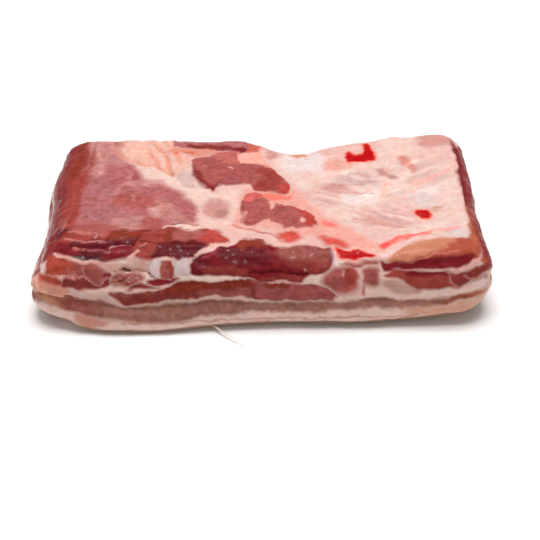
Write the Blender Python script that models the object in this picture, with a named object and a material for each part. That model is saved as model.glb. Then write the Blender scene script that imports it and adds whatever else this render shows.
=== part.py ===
"""Raw pork belly slab, boned and lying on its rind. Metres, +Z up, origin under its middle.

The slab is one solid. It starts as a cube primitive cut into a grid, and every vertex is then
carried to the slab's surface by functions of its place on that cube: the edges are rounded, the
top follows a height field, the four cut walls bulge and lean, and lobes of muscle and creases
between the layers are added along the surface's own direction.
"""

import bmesh
import bpy
import numpy as np

MM = 0.001

# Driving dimensions
HALF_LENGTH = 150 * MM  # of the plain block, before its walls bulge
HALF_DEPTH = 82 * MM
THICKNESS = 52 * MM
FRONT_CORNERS = (14 * MM, 17 * MM)  # radii of the upright corners, at -X and at +X
BACK_CORNERS = (11 * MM, 11 * MM)
TOP_EDGE = 8 * MM  # radius of the top edge
FRONT_SHOULDER = 8 * MM  # added to that radius along the front
RIND_EDGE = 1.5 * MM  # radius of the bottom edge
CELLS = (50, 27, 11)  # cells of the grid along X, Y and Z

# How far each wall stands out from the plain block in mm, from the bottom (0) to the top (1) of it.
WALL_HEIGHTS = (0.0, 0.1, 0.25, 0.45, 0.7, 0.88, 1.0)
FRONT_WALL = (6.0, 8.0, 8.5, 6.5, 4.0, 0.5, -3.0)
BACK_WALL = (3.0, 5.0, 6.0, 5.0, 4.0, 2.5, 1.0)
LEFT_WALL = (4.0, 7.0, 9.5, 9.5, 5.0, 0.5, -4.0)
RIGHT_WALL = (0.0, 1.5, 4.0, 6.0, 4.0, 1.5, -1.5)

# The walls also wander in and out along their length: places in mm, and how far out in mm.
# The front does so at its bottom edge, and the other three over their whole height.
FRONT_WANDER = ((-150, -138, -125, -112, -90, -60, -30, 0, 60, 100, 128, 150),
                (-3.5, -1.5, 4, 6, 7, 5, 1.5, -1, -1.5, -4, -5.5, -8))
BACK_WANDER = ((-150, -60, -20, 5, 25, 50, 90, 150), (0, 0.5, 0, -4.5, -6, -3.5, 0, 1.5))
LEFT_WANDER = ((-85, -60, -30, 0, 20, 40, 62, 85), (-2, -1.5, -0.5, 1.2, 4.5, 5.2, 3, 4.5))
RIGHT_WANDER = ((-85, -60, -40, -10, 20, 50, 85), (0, 0.6, -0.4, -0.8, 1, 1.6, 1.4))

# Broad hills and hollows of the top: middle (x, y), reach along and across, turn in degrees, rise.
TOP_HILLS = (
    ((128, 62), (46, 52), 0, 5.0),
    ((138, 84), (20, 24), 0, 2.0),
    ((99, 84), (8, 16), 0, 2.4),
    ((24, 86), (26, 42), 0, -9.0),
    ((66, 86), (16, 20), 0, -1.4),
    ((-120, 84), (40, 18), 0, 1.0),
    ((-14, 84), (14, 18), 0, 1.4),
    ((-95, 5), (38, 40), 0, -1.5),
    ((-60, -38), (34, 9), -8, -1.6),
    ((-32, -20), (20, 26), 20, -3.2),
    ((-112, -50), (40, 8), 0, 2.5),
    ((-66, 46), (12, 26), 20, 1.6),
    ((75, 30), (46, 11), 20, -2.2),
    ((92, -22), (50, 10), 14, -2.2),
    ((60, 2), (60, 7), 18, 1.3),
    ((105, -48), (48, 7), 16, 1.8),
)

# The rim of the rind lifts off the table: places round the walls from the front left corner (0, as in
# `girth`), and the lift in mm there. It dies away towards the middle over a reach that grows with it.
RIM_GIRTH = (0, 0.03, 0.055, 0.09, 0.18, 0.25, 0.35, 0.5, 0.77, 0.84, 0.93, 1, 1.15, 1.35, 1.6, 2,
             2.3, 2.7, 3, 3.4, 3.75, 3.9, 4)
RIM_LIFT = (5.5, 7.5, 6, 3, 2, 1.2, 2.8, 3.6, 3.8, 5, 8, 10, 9, 4.5, 2, 4,
            2, 1.5, 3, 2, 3, 4.5, 5.5)
RIM_REACH = 9 * MM
RIM_SPREAD = 2  # the further reach for each mm of lift

# Lobes that swell out of the surface: middle (x, y, z), half sizes, height.
LOBES = (
    ((-2, -78, 45), (46, 18, 13), 3.6),
    ((30, -84, 34), (34, 14, 6), 1.2),
    ((-60, -88, 31), (34, 12, 6), 1.4),
    ((-112, -74, 47), (30, 12, 8), 2.4),
    ((-58, -66, 50), (30, 13, 9), 2.6),
    ((-138, -84, 36), (15, 12, 8), 1.6),
    ((112, -72, 51), (36, 14, 9), 2.6),
    ((54, -82, 40), (13, 10, 11), 1.2),
    ((74, -84, 39), (8, 10, 8), 0.8),
    ((114, -86, 35), (34, 12, 7), 1.8),
    ((-152, -70, 29), (20, 34, 6), 2.8),
    ((-154, -66, 15), (24, 34, 7), 3.2),
    ((-24, 38, 52), (34, 20, 12), 1.6),
    ((8, -20, 52), (24, 16, 12), 1.6),
)

LOBE_FALL = 1.4  # how fast a lobe falls away from its middle

# The crease round the walls, between the layer on the rind and the body above it.
CREASE_DEPTH = 1.5
CREASE_WIDTH = 2.6
CREASE_GIRTH = (0, 0.1, 0.18, 0.3, 0.38, 0.5, 0.63, 0.73, 0.82, 0.9, 1, 1.5, 2, 2.5, 3, 3.5, 4)
CREASE_HEIGHT = (26, 24, 20.5, 21, 24, 21.5, 21.5, 24, 22.5, 24, 28, 25, 24, 22, 23, 24, 26)

# Powers of the ring, which is 0 at the middle of the top and 1 at its rim.
EDGE_FADE = 6  # for the walls' shape, so that it dies away towards the middle
CORNER_FADE = 4  # for the rounding of the upright corners
SIDE_SHARPNESS = 8  # how sharply the corners part the long sides from the short ones

MEAT_COLOUR = (0.42, 0.10, 0.10)
MEAT_ROUGHNESS = 0.35
TINY = 1e-9  # keeps a division clear of nought


def smooth_curve(at, places, values):
    """A cubic curve through the points (places, values), read at each number of `at`."""
    places, values = np.asarray(places, float), np.asarray(values, float)
    slopes = np.gradient(values, places)
    left = np.clip(np.searchsorted(places, at) - 1, 0, len(places) - 2)
    step = places[left + 1] - places[left]
    t = np.clip((at - places[left]) / step, 0, 1)
    start = (1 + 2 * t) * (1 - t) ** 2 * values[left] + t * (1 - t) ** 2 * step * slopes[left]
    end = t * t * (3 - 2 * t) * values[left + 1] - t * t * (1 - t) * step * slopes[left + 1]
    return start + end


def hill(x, y, middle, reach, turn):
    """A smooth hill of height 1: a Gaussian whose long axis is turned from X by `turn` degrees."""
    angle = np.radians(turn)
    dx, dy = x - middle[0] * MM, y - middle[1] * MM
    along = dx * np.cos(angle) + dy * np.sin(angle)
    across = dy * np.cos(angle) - dx * np.sin(angle)
    return np.exp(-((along / (reach[0] * MM)) ** 2) - (across / (reach[1] * MM)) ** 2)


def top_height(x, y):
    """Height of the top over the table: the slab's thickness plus its broad hills and hollows."""
    height = np.full_like(x, THICKNESS)
    for middle, reach, turn, rise in TOP_HILLS:
        height += rise * MM * hill(x, y, middle, reach, turn)
    return height


def round_edge(inset, drop, radius):
    """Carries a square edge onto a quarter circle.

    A point is `inset` from the wall and `drop` below the face. Returns its new inset and drop, and
    how far its normal leans outward: 0 on the face, 1 on the wall.
    """
    out = np.clip(radius - inset, 0, None)
    down = np.clip(radius - drop, 0, None)
    reach = np.maximum(np.hypot(out, down), TINY)
    rounded = (out > 0) & (down > 0)
    new_inset = np.where(rounded, radius - radius * out / reach, inset)
    new_drop = np.where(rounded, radius - radius * down / reach, drop)
    lean = np.where(rounded, out / reach, (inset < drop).astype(float))
    return new_inset, new_drop, lean


def round_plan(x, y, ring):
    """Rounds the upright corners of a ring of the block, and gives the outward direction in plan."""
    front = np.where(x < 0, *FRONT_CORNERS)
    back = np.where(x < 0, *BACK_CORNERS)
    radius = np.where(y < 0, front, back) * ring**CORNER_FADE
    inner_x = np.clip(x, radius - HALF_LENGTH * ring, HALF_LENGTH * ring - radius)
    inner_y = np.clip(y, radius - HALF_DEPTH * ring, HALF_DEPTH * ring - radius)
    out = np.stack([x - inner_x, y - inner_y])
    reach = np.maximum(np.hypot(*out), TINY)
    direction = out / reach
    return inner_x + direction[0] * radius, inner_y + direction[1] * radius, direction


def wall_offset(x, y, level, direction):
    """How far the wall stands out at this level (0 bottom, 1 top), mixed between two sides at a corner."""
    front = smooth_curve(level, WALL_HEIGHTS, FRONT_WALL)
    front += (1 - level) * smooth_curve(x / MM, *FRONT_WANDER)
    back = smooth_curve(level, WALL_HEIGHTS, BACK_WALL) + smooth_curve(x / MM, *BACK_WANDER)
    left = smooth_curve(level, WALL_HEIGHTS, LEFT_WALL) + smooth_curve(y / MM, *LEFT_WANDER)
    right = smooth_curve(level, WALL_HEIGHTS, RIGHT_WALL) + smooth_curve(y / MM, *RIGHT_WANDER)
    across = np.where(direction[1] < 0, front, back) * direction[1] ** 2
    along = np.where(direction[0] < 0, left, right) * direction[0] ** 2
    return (across + along) * MM


def girth(cube_x, cube_y):
    """Place round the walls: 0 to 1 along the front, then the right, the back and the left, to 4."""
    front, back = 0.5 + cube_x / 2, 2.5 - cube_x / 2
    right, left = 1.5 + cube_y / 2, 3.5 - cube_y / 2
    facing_y = np.abs(cube_y) >= np.abs(cube_x)
    return np.where(facing_y, np.where(cube_y < 0, front, back), np.where(cube_x > 0, right, left))


def swell(points):
    """How far the lobes move each point along its normal."""
    move = np.zeros(points.shape[1])
    for middle, half, height in LOBES:
        away = (points.T / MM - middle) / half
        move += height * np.exp(-LOBE_FALL * np.sum(away**2, axis=1))
    return move * MM


def slab_form(cube_x, cube_y, cube_z):
    """Carries points of a cube from -1 to 1 onto the slab."""
    ring = np.maximum(np.maximum(np.abs(cube_x), np.abs(cube_y)), TINY)
    short_side = np.abs(cube_x / ring) ** SIDE_SHARPNESS
    long_side = np.abs(cube_y / ring) ** SIDE_SHARPNESS
    share = short_side / (short_side + long_side + TINY)
    half_side = HALF_LENGTH * share + HALF_DEPTH * (1 - share)
    inset = (1 - ring) * half_side
    drop = (1 - cube_z) / 2 * THICKNESS
    facing_front = np.clip(-cube_y, 0, 1) ** 2 * (1 - share)
    inset, drop, lean_top = round_edge(inset, drop, TOP_EDGE + FRONT_SHOULDER * facing_front)
    inset, rise, lean_bottom = round_edge(inset, THICKNESS - drop, RIND_EDGE)

    new_ring = 1 - inset / half_side
    x = HALF_LENGTH * cube_x * new_ring / ring
    y = HALF_DEPTH * cube_y * new_ring / ring
    x, y, direction = round_plan(x, y, new_ring)
    level = rise / THICKNESS
    out = wall_offset(x, y, level, direction) * new_ring**EDGE_FADE
    x, y = x + direction[0] * out, y + direction[1] * out

    around = girth(cube_x / ring, cube_y / ring)
    lift = smooth_curve(around, RIM_GIRTH, RIM_LIFT) * MM
    fall = np.exp(-((inset / (RIM_REACH + RIM_SPREAD * lift)) ** 2))
    z = level * top_height(x, y) + (1 - level) ** 2 * lift * fall

    lean = np.minimum(lean_top, lean_bottom)
    up = np.sqrt(1 - lean**2) * np.where(level > 0.5, 1, -1)
    crease = (z / MM - smooth_curve(around, CREASE_GIRTH, CREASE_HEIGHT)) / CREASE_WIDTH
    move = swell(np.stack([x, y, z])) - lean * CREASE_DEPTH * MM * np.exp(-(crease**2))
    move = np.where((level < 0.5) & (lean < 1), move * lean, move)
    return np.stack([x + direction[0] * lean * move, y + direction[1] * lean * move, z + up * move])


def material(name, colour, roughness):
    """A Principled material."""
    made = bpy.data.materials.new(name)
    made.use_nodes = True
    shader = made.node_tree.nodes["Principled BSDF"]
    shader.inputs["Base Color"].default_value = (*colour, 1)
    shader.inputs["Roughness"].default_value = roughness
    return made


def gridded_cube(cells):
    """A cube from -1 to 1 whose edges along each axis are cut into that many cells."""
    grid = bmesh.new()
    bmesh.ops.create_cube(grid, size=2)
    for axis, count in enumerate(cells):
        along = [
            edge
            for edge in grid.edges
            if abs(edge.verts[0].co[axis] - edge.verts[1].co[axis]) > 1.9
        ]
        bmesh.ops.subdivide_edges(grid, edges=along, cuts=count - 1, use_grid_fill=True)
    return grid


def make_slab(collection):
    grid = gridded_cube(CELLS)
    cube = np.array([vertex.co for vertex in grid.verts]).T
    points = slab_form(*cube)
    middle = (points.max(axis=1) + points.min(axis=1)) / 2
    points[:2] -= middle[:2, None]
    points[2] -= points[2].min()
    for vertex, place in zip(grid.verts, points.T):
        vertex.co = place
    bmesh.ops.recalc_face_normals(grid, faces=grid.faces)
    mesh = bpy.data.meshes.new("pork_belly_slab")
    grid.to_mesh(mesh)
    grid.free()
    mesh.shade_smooth()
    mesh.materials.append(material("lean_and_fat", MEAT_COLOUR, MEAT_ROUGHNESS))
    slab = bpy.data.objects.new("pork_belly_slab", mesh)
    collection.objects.link(slab)
    return slab


def main():
    for obj in list(bpy.data.objects):
        bpy.data.objects.remove(obj, do_unlink=True)
    collection = bpy.data.collections.new("pork_belly_slab")
    bpy.context.scene.collection.children.link(collection)
    make_slab(collection)


main()
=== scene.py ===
import math

import bmesh
import bpy
import numpy as np
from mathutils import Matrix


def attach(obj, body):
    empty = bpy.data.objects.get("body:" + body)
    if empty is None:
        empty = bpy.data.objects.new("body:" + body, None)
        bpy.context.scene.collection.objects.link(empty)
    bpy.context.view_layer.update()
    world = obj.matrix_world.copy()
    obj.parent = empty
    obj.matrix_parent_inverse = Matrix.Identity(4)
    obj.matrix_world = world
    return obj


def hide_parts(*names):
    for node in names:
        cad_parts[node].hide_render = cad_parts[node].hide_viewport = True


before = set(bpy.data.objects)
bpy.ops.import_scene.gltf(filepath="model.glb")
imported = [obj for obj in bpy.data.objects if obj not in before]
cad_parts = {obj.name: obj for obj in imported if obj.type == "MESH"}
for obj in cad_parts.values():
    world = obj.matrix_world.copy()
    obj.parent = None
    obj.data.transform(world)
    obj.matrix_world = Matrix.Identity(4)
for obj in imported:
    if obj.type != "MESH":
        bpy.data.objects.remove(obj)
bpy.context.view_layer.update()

# A raw, boned slab of pork belly on its rind, drawn in three pieces: the meat, the rind under it and
# a thin shred of membrane that lies out from the bottom edge. Lengths are in mm until they are
# written into a mesh, where they are metres.
MM = 0.001
SLAB = "pork_belly_slab"

# ---------------------------------------------------------------- the slab's form, as in the solid

HALF_LENGTH = 150  # of the plain block, before its walls bulge
HALF_DEPTH = 82
THICKNESS = 52
FRONT_CORNERS = (14, 17)  # radii of the upright corners, at -X and at +X
BACK_CORNERS = (11, 11)
TOP_EDGE = 8
FRONT_SHOULDER = 8
RIND_EDGE = 1.5

WALL_HEIGHTS = (0.0, 0.1, 0.25, 0.45, 0.7, 0.88, 1.0)
FRONT_WALL = (6.0, 8.0, 8.5, 6.5, 4.0, 0.5, -3.0)
BACK_WALL = (3.0, 5.0, 6.0, 5.0, 4.0, 2.5, 1.0)
LEFT_WALL = (4.0, 7.0, 9.5, 9.5, 5.0, 0.5, -4.0)
RIGHT_WALL = (0.0, 1.5, 4.0, 6.0, 4.0, 1.5, -1.5)
FRONT_WANDER = ((-150, -138, -125, -112, -90, -60, -30, 0, 60, 100, 128, 150),
                (-3.5, -1.5, 4, 6, 7, 5, 1.5, -1, -1.5, -4, -5.5, -8))
BACK_WANDER = ((-150, -60, -20, 5, 25, 50, 90, 150), (0, 0.5, 0, -4.5, -6, -3.5, 0, 1.5))
LEFT_WANDER = ((-85, -60, -30, 0, 20, 40, 62, 85), (-2, -1.5, -0.5, 1.2, 4.5, 5.2, 3, 4.5))
RIGHT_WANDER = ((-85, -60, -40, -10, 20, 50, 85), (0, 0.6, -0.4, -0.8, 1, 1.6, 1.4))

# Broad hills and hollows of the top: middle (x, y), reach along and across, turn in degrees, rise.
TOP_HILLS = (
    ((128, 62), (46, 52), 0, 5.0),
    ((138, 84), (20, 24), 0, 2.0),
    ((99, 84), (8, 16), 0, 2.4),
    ((24, 86), (26, 42), 0, -9.0),
    ((66, 86), (16, 20), 0, -1.4),
    ((-120, 84), (40, 18), 0, 1.0),
    ((-14, 84), (14, 18), 0, 1.4),
    ((-95, 5), (38, 40), 0, -1.5),
    ((-60, -38), (34, 9), -8, -1.6),
    ((-32, -20), (20, 26), 20, -3.2),
    ((-112, -50), (40, 8), 0, 2.5),
    ((-66, 46), (12, 26), 20, 1.6),
    ((75, 30), (46, 11), 20, -2.2),
    ((92, -22), (50, 10), 14, -2.2),
    ((60, 2), (60, 7), 18, 1.3),
    ((105, -48), (48, 7), 16, 1.8),
)
# The rim of the rind lifts off the table: places round the walls from the front left corner (0, as in
# `girth`), and the lift in mm there. It dies away towards the middle over a reach that grows with it.
RIM_GIRTH = (0, 0.03, 0.055, 0.09, 0.18, 0.25, 0.35, 0.5, 0.77, 0.84, 0.93, 1, 1.15, 1.35, 1.6, 2,
             2.3, 2.7, 3, 3.4, 3.75, 3.9, 4)
RIM_LIFT = (5.5, 7.5, 6, 3, 2, 1.2, 2.8, 3.6, 3.8, 5, 8, 10, 9, 4.5, 2, 4,
            2, 1.5, 3, 2, 3, 4.5, 5.5)
RIM_REACH = 9
RIM_SPREAD = 2  # the further reach for each mm of lift
# Lobes that swell out of the surface: middle (x, y, z), half sizes, height.
LOBES = (
    ((-2, -78, 45), (46, 18, 13), 3.6),
    ((30, -84, 34), (34, 14, 6), 1.2),
    ((-60, -88, 31), (34, 12, 6), 1.4),
    ((-112, -74, 47), (30, 12, 8), 2.4),
    ((-58, -66, 50), (30, 13, 9), 2.6),
    ((-138, -84, 36), (15, 12, 8), 1.6),
    ((112, -72, 51), (36, 14, 9), 2.6),
    ((54, -82, 40), (13, 10, 11), 1.2),
    ((74, -84, 39), (8, 10, 8), 0.8),
    ((114, -86, 35), (34, 12, 7), 1.8),
    ((-152, -70, 29), (20, 34, 6), 2.8),
    ((-154, -66, 15), (24, 34, 7), 3.2),
    ((-24, 38, 52), (34, 20, 12), 1.6),
    ((8, -20, 52), (24, 16, 12), 1.6),
)
LOBE_FALL = 1.4
CREASE_DEPTH = 1.5
CREASE_WIDTH = 2.6
CREASE_GIRTH = (0, 0.1, 0.18, 0.3, 0.38, 0.5, 0.63, 0.73, 0.82, 0.9, 1, 1.5, 2, 2.5, 3, 3.5, 4)
CREASE_HEIGHT = (26, 24, 20.5, 21, 24, 21.5, 21.5, 24, 22.5, 24, 28, 25, 24, 22, 23, 24, 26)
EDGE_FADE = 6
CORNER_FADE = 4
SIDE_SHARPNESS = 8
TINY = 1e-9


def smooth_step(value, low, high):
    """0 below `low`, 1 above `high`, and 3t^2 - 2t^3 between them."""
    t = np.clip((value - low) / (high - low), 0, 1)
    return t * t * (3 - 2 * t)


def smooth_curve(at, places, values):
    """A cubic curve through the points (places, values), read at each number of `at`."""
    places, values = np.asarray(places, float), np.asarray(values, float)
    slopes = np.gradient(values, places)
    left = np.clip(np.searchsorted(places, at) - 1, 0, len(places) - 2)
    step = places[left + 1] - places[left]
    t = np.clip((at - places[left]) / step, 0, 1)
    start = (1 + 2 * t) * (1 - t) ** 2 * values[left] + t * (1 - t) ** 2 * step * slopes[left]
    end = t * t * (3 - 2 * t) * values[left + 1] - t * t * (1 - t) * step * slopes[left + 1]
    return start + end


def hill(x, y, middle, reach, turn):
    """A hill of height 1: exp(-(along / reach)^2 - (across / reach)^2), its long axis turned from X."""
    angle = np.radians(turn)
    dx, dy = x - middle[0], y - middle[1]
    along = dx * np.cos(angle) + dy * np.sin(angle)
    across = dy * np.cos(angle) - dx * np.sin(angle)
    return np.exp(-((along / reach[0]) ** 2) - (across / reach[1]) ** 2)


def round_edge(inset, drop, radius):
    """Carries a square edge onto a quarter circle, and gives how far its normal leans outward."""
    out = np.clip(radius - inset, 0, None)
    down = np.clip(radius - drop, 0, None)
    reach = np.maximum(np.hypot(out, down), TINY)
    rounded = (out > 0) & (down > 0)
    new_inset = np.where(rounded, radius - radius * out / reach, inset)
    new_drop = np.where(rounded, radius - radius * down / reach, drop)
    lean = np.where(rounded, out / reach, (inset < drop).astype(float))
    return new_inset, new_drop, lean


def round_plan(x, y, ring):
    """Rounds the upright corners of a ring of the block, and gives the outward direction in plan."""
    front = np.where(x < 0, *FRONT_CORNERS)
    back = np.where(x < 0, *BACK_CORNERS)
    radius = np.where(y < 0, front, back) * ring**CORNER_FADE
    inner_x = np.clip(x, radius - HALF_LENGTH * ring, HALF_LENGTH * ring - radius)
    inner_y = np.clip(y, radius - HALF_DEPTH * ring, HALF_DEPTH * ring - radius)
    out = np.stack([x - inner_x, y - inner_y])
    direction = out / np.maximum(np.hypot(*out), TINY)
    return inner_x + direction[0] * radius, inner_y + direction[1] * radius, direction


def wall_offset(x, y, level, direction):
    """How far the wall stands out at this level (0 bottom, 1 top), mixed between two sides at a corner."""
    front = smooth_curve(level, WALL_HEIGHTS, FRONT_WALL)
    front += (1 - level) * smooth_curve(x, *FRONT_WANDER)
    back = smooth_curve(level, WALL_HEIGHTS, BACK_WALL) + smooth_curve(x, *BACK_WANDER)
    left = smooth_curve(level, WALL_HEIGHTS, LEFT_WALL) + smooth_curve(y, *LEFT_WANDER)
    right = smooth_curve(level, WALL_HEIGHTS, RIGHT_WALL) + smooth_curve(y, *RIGHT_WANDER)
    across = np.where(direction[1] < 0, front, back) * direction[1] ** 2
    along = np.where(direction[0] < 0, left, right) * direction[0] ** 2
    return across + along


def girth(cube_x, cube_y):
    """Place round the walls: 0 to 1 along the front, then the right, the back and the left, to 4."""
    front, back = 0.5 + cube_x / 2, 2.5 - cube_x / 2
    right, left = 1.5 + cube_y / 2, 3.5 - cube_y / 2
    facing_y = np.abs(cube_y) >= np.abs(cube_x)
    return np.where(facing_y, np.where(cube_y < 0, front, back), np.where(cube_x > 0, right, left))


def slab_form(cube):
    """Carries points of a cube from -1 to 1 onto the slab.

    Each point keeps its ring (its share of the way from the middle to the rim) while the edges are
    rounded, the walls stand out by their curves, the top takes its hills, and lobes and the crease
    move it along its normal. Returns the places, the outward normals, how far each faces sideways
    (0 top or bottom, 1 wall), its direction in plan, and its place round the walls.
    """
    cube_x, cube_y, cube_z = cube.T
    ring = np.maximum(np.maximum(np.abs(cube_x), np.abs(cube_y)), TINY)
    short_side = np.abs(cube_x / ring) ** SIDE_SHARPNESS
    long_side = np.abs(cube_y / ring) ** SIDE_SHARPNESS
    share = short_side / (short_side + long_side + TINY)
    half_side = HALF_LENGTH * share + HALF_DEPTH * (1 - share)
    inset = (1 - ring) * half_side
    drop = (1 - cube_z) / 2 * THICKNESS
    facing_front = np.clip(-cube_y, 0, 1) ** 2 * (1 - share)
    inset, drop, lean_top = round_edge(inset, drop, TOP_EDGE + FRONT_SHOULDER * facing_front)
    inset, rise, lean_bottom = round_edge(inset, THICKNESS - drop, RIND_EDGE)

    new_ring = 1 - inset / half_side
    x = HALF_LENGTH * cube_x * new_ring / ring
    y = HALF_DEPTH * cube_y * new_ring / ring
    x, y, direction = round_plan(x, y, new_ring)
    level = rise / THICKNESS
    out = wall_offset(x, y, level, direction) * new_ring**EDGE_FADE
    x, y = x + direction[0] * out, y + direction[1] * out

    around = girth(cube_x / ring, cube_y / ring)
    z = level * (THICKNESS + sum(h * hill(x, y, m, r, t) for m, r, t, h in TOP_HILLS))
    lift = smooth_curve(around, RIM_GIRTH, RIM_LIFT)
    z += (1 - level) ** 2 * lift * np.exp(-((inset / (RIM_REACH + RIM_SPREAD * lift)) ** 2))

    lean = np.minimum(lean_top, lean_bottom)
    up = np.sqrt(1 - lean**2) * np.where(level > 0.5, 1, -1)
    places = np.stack([x, y, z], axis=1)
    normals = np.stack([direction[0] * lean, direction[1] * lean, up], axis=1)
    move = -lean * CREASE_DEPTH * crease_shape(z, around)
    for middle, half, height in LOBES:
        move += height * np.exp(-LOBE_FALL * np.sum(((places - middle) / half) ** 2, axis=1))
    move = np.where((level < 0.5) & (lean < 1), move * lean, move)
    return places + normals * move[:, None], normals, lean, direction.T, around


def crease_shape(z, around):
    """1 in the crease between the layer on the rind and the body above it, and 0 away from it."""
    away = (z - smooth_curve(around, CREASE_GIRTH, CREASE_HEIGHT)) / CREASE_WIDTH
    return np.exp(-(away**2))


def cube_shell(cells, stop):
    """The top and the four walls of a cube, as one closed skin of squares.

    `cells` are the cells along X and Y and down the wall, and `stop` is the cube height where the
    wall ends. The top is a grid; each row of the wall is its rim again, lower down. One face closes
    the foot. Returns the places on the cube and the faces as lists of corners.
    """
    count_x, count_y, count_z = cells
    across, along = np.meshgrid(
        np.linspace(-1, 1, count_x + 1), np.linspace(-1, 1, count_y + 1), indexing="ij"
    )
    top = np.stack([across.ravel(), along.ravel(), np.ones(across.size)], axis=1)
    index = np.arange(across.size).reshape(across.shape)
    rim = np.concatenate([index[:-1, 0], index[-1, :-1], index[:0:-1, -1], index[0, :0:-1]])
    heights = np.linspace(1, stop, count_z + 1)[1:]
    walls = np.repeat(top[rim][None], count_z, axis=0)
    walls[:, :, 2] = heights[:, None]
    rows = np.concatenate([rim[None], across.size + np.arange(walls[:, :, 0].size).reshape(count_z, -1)])
    after = np.roll(rows, -1, axis=1)
    top_faces = np.stack([index[:-1, :-1], index[1:, :-1], index[1:, 1:], index[:-1, 1:]], axis=-1)
    wall_faces = np.stack([rows[:-1], rows[1:], after[1:], after[:-1]], axis=-1)
    faces = np.concatenate([top_faces.reshape(-1, 4), wall_faces.reshape(-1, 4)])
    return np.concatenate([top, walls.reshape(-1, 3)]), faces.tolist() + [rows[-1][::-1].tolist()]


# ---------------------------------------------------------------- noise, outlines and lines


def smooth_noise(points, size, seed):
    """Noise from -1 to 1. The corners of a cubic lattice, `size` mm apart, hold hashed numbers, and
    the eight round a point are blended by the curve 6t^5 - 15t^4 + 10t^3 of its place between them."""
    scaled = points / size + seed * 7.31
    cell = np.floor(scaled).astype(np.int64)
    part = scaled - cell
    fade = part**3 * (part * (part * 6 - 15) + 10)
    total = np.zeros(len(points))
    for corner in np.ndindex(2, 2, 2):
        key = (cell + corner) @ np.array([73856093, 19349663, 83492791])
        key = (key ^ (key >> 13)) * 1274126177
        value = ((key ^ (key >> 16)) & 0xFFFF) / 0x7FFF - 1
        total += value * np.prod(np.where(corner, fade, 1 - fade), axis=1)
    return total


def layered_noise(points, size, seed, layers=3):
    """Smooth noise plus finer layers, each half the size and half the strength of the one before."""
    return sum(smooth_noise(points, size / 2**n, seed + n) / 2**n for n in range(layers))


def scattered_cells(points, size, seed):
    """Cells round scattered seeds, in plan: the distance from each point to its nearest seed and to the
    second nearest, in cell sizes. Each square of a lattice holds one seed, at a hashed place in it."""
    scaled = points[:, :2] / size + seed * 5.17
    cell = np.floor(scaled).astype(np.int64)
    first, second = np.full((2, len(points)), np.inf)
    for step in np.ndindex(3, 3):
        square = cell + step - 1
        key = square @ np.array([73856093, 19349663])
        key = (key ^ (key >> 13)) * 1274126177
        inner = np.stack([(key ^ (key >> 16)) & 0xFF, (key ^ (key >> 11)) & 0xFF], axis=1) / 0xFF
        away = np.hypot(*(square + 0.15 + 0.7 * inner - scaled).T)
        second = np.minimum(second, np.maximum(first, away))
        first = np.minimum(first, away)
    return first, second


def stretched(points, turn, along, across):
    """Points in axes turned from X by `turn` degrees, divided by a size along and a size across."""
    angle = math.radians(turn)
    u = points[:, 0] * math.cos(angle) + points[:, 1] * math.sin(angle)
    v = points[:, 1] * math.cos(angle) - points[:, 0] * math.sin(angle)
    return np.stack([u / along, v / across, points[:, 2] / across], axis=1)


def line_distance(place, corners):
    """Distance in mm from each place to a line through the corners."""
    nearest = np.full(len(place), np.inf)
    corners = np.array(corners, float)
    for start, end in zip(corners[:-1], corners[1:]):
        way = end - start
        share = np.clip((place - start) @ way / (way @ way), 0, 1)
        nearest = np.minimum(nearest, np.hypot(*(place - start - share[:, None] * way).T))
    return nearest


def inside_distance(place, corners):
    """Distance in mm from each place to a closed outline, positive inside it and negative outside.

    A place is inside where a ray from it along +u crosses the outline an odd number of times.
    """
    corners = np.array(corners, float)
    inside = np.zeros(len(place), bool)
    for (u0, v0), (u1, v1) in zip(corners, np.roll(corners, -1, axis=0)):
        crosses = (v0 > place[:, 1]) != (v1 > place[:, 1])
        at = u0 + (u1 - u0) * (place[:, 1] - v0) / (v1 - v0 if v1 != v0 else TINY)
        inside ^= crosses & (place[:, 0] < at)
    distance = line_distance(place, list(corners) + [corners[0]])
    return np.where(inside, distance, -distance)


def linear(code):
    """A colour from its sRGB hex code, as linear light."""
    part = np.array([int(code[i : i + 2], 16) for i in (0, 2, 4)]) / 255
    return np.where(part <= 0.04045, part / 12.92, ((part + 0.055) / 1.055) ** 2.4)


def tissue(name):
    """A tissue's tone, as linear light."""
    return linear(TONES[name])


# ---------------------------------------------------------------- where the lean, fat and blood are

# The tones of the tissues. Lean runs from dried and deep red in the folds to pale where membrane lies
# over it, and fat from white membrane through pink to amber where it is translucent or dried.
TONES = {
    "dried lean": "46141a", "deep lean": "641a20", "dark lean": "781e24", "cut lean": "84342e",
    "rust lean": "843224", "brick lean": "963e36", "muted lean": "964e46", "warm lean": "a64638",
    "red lean": "b04238", "plum lean": "a45450", "mauve lean": "aa6260", "veiled lean": "a46464",
    "misted lean": "b67a72", "pale lean": "c48680", "rosy lean": "b66058", "coral lean": "c65c54",
    "fresh lean": "c84e42", "amber lean": "aa563c", "brown lean": "9c6a5c", "dun lean": "ae7868",
    "white fat": "e4d6d2", "misted fat": "d6c4c0", "cream fat": "e0c4ba", "soft fat": "e0b8ac",
    "veiled fat": "ccaea8", "blush fat": "deb8b0", "pink fat": "e0a498", "salmon fat": "f2aa9a",
    "rose fat": "ca948c", "flushed fat": "d48e80", "mauve fat": "b47e78", "coral fat": "e87a6a",
    "bloody fat": "c45e4e", "apricot fat": "d09070", "amber fat": "c47e5e", "tan fat": "d2a28c",
    "rind fat": "c88e7c", "dull fat": "c0988c", "stained fat": "a06058", "rusty fat": "aa4a34",
    "cartilage": "c6b4b4",
}

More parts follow.
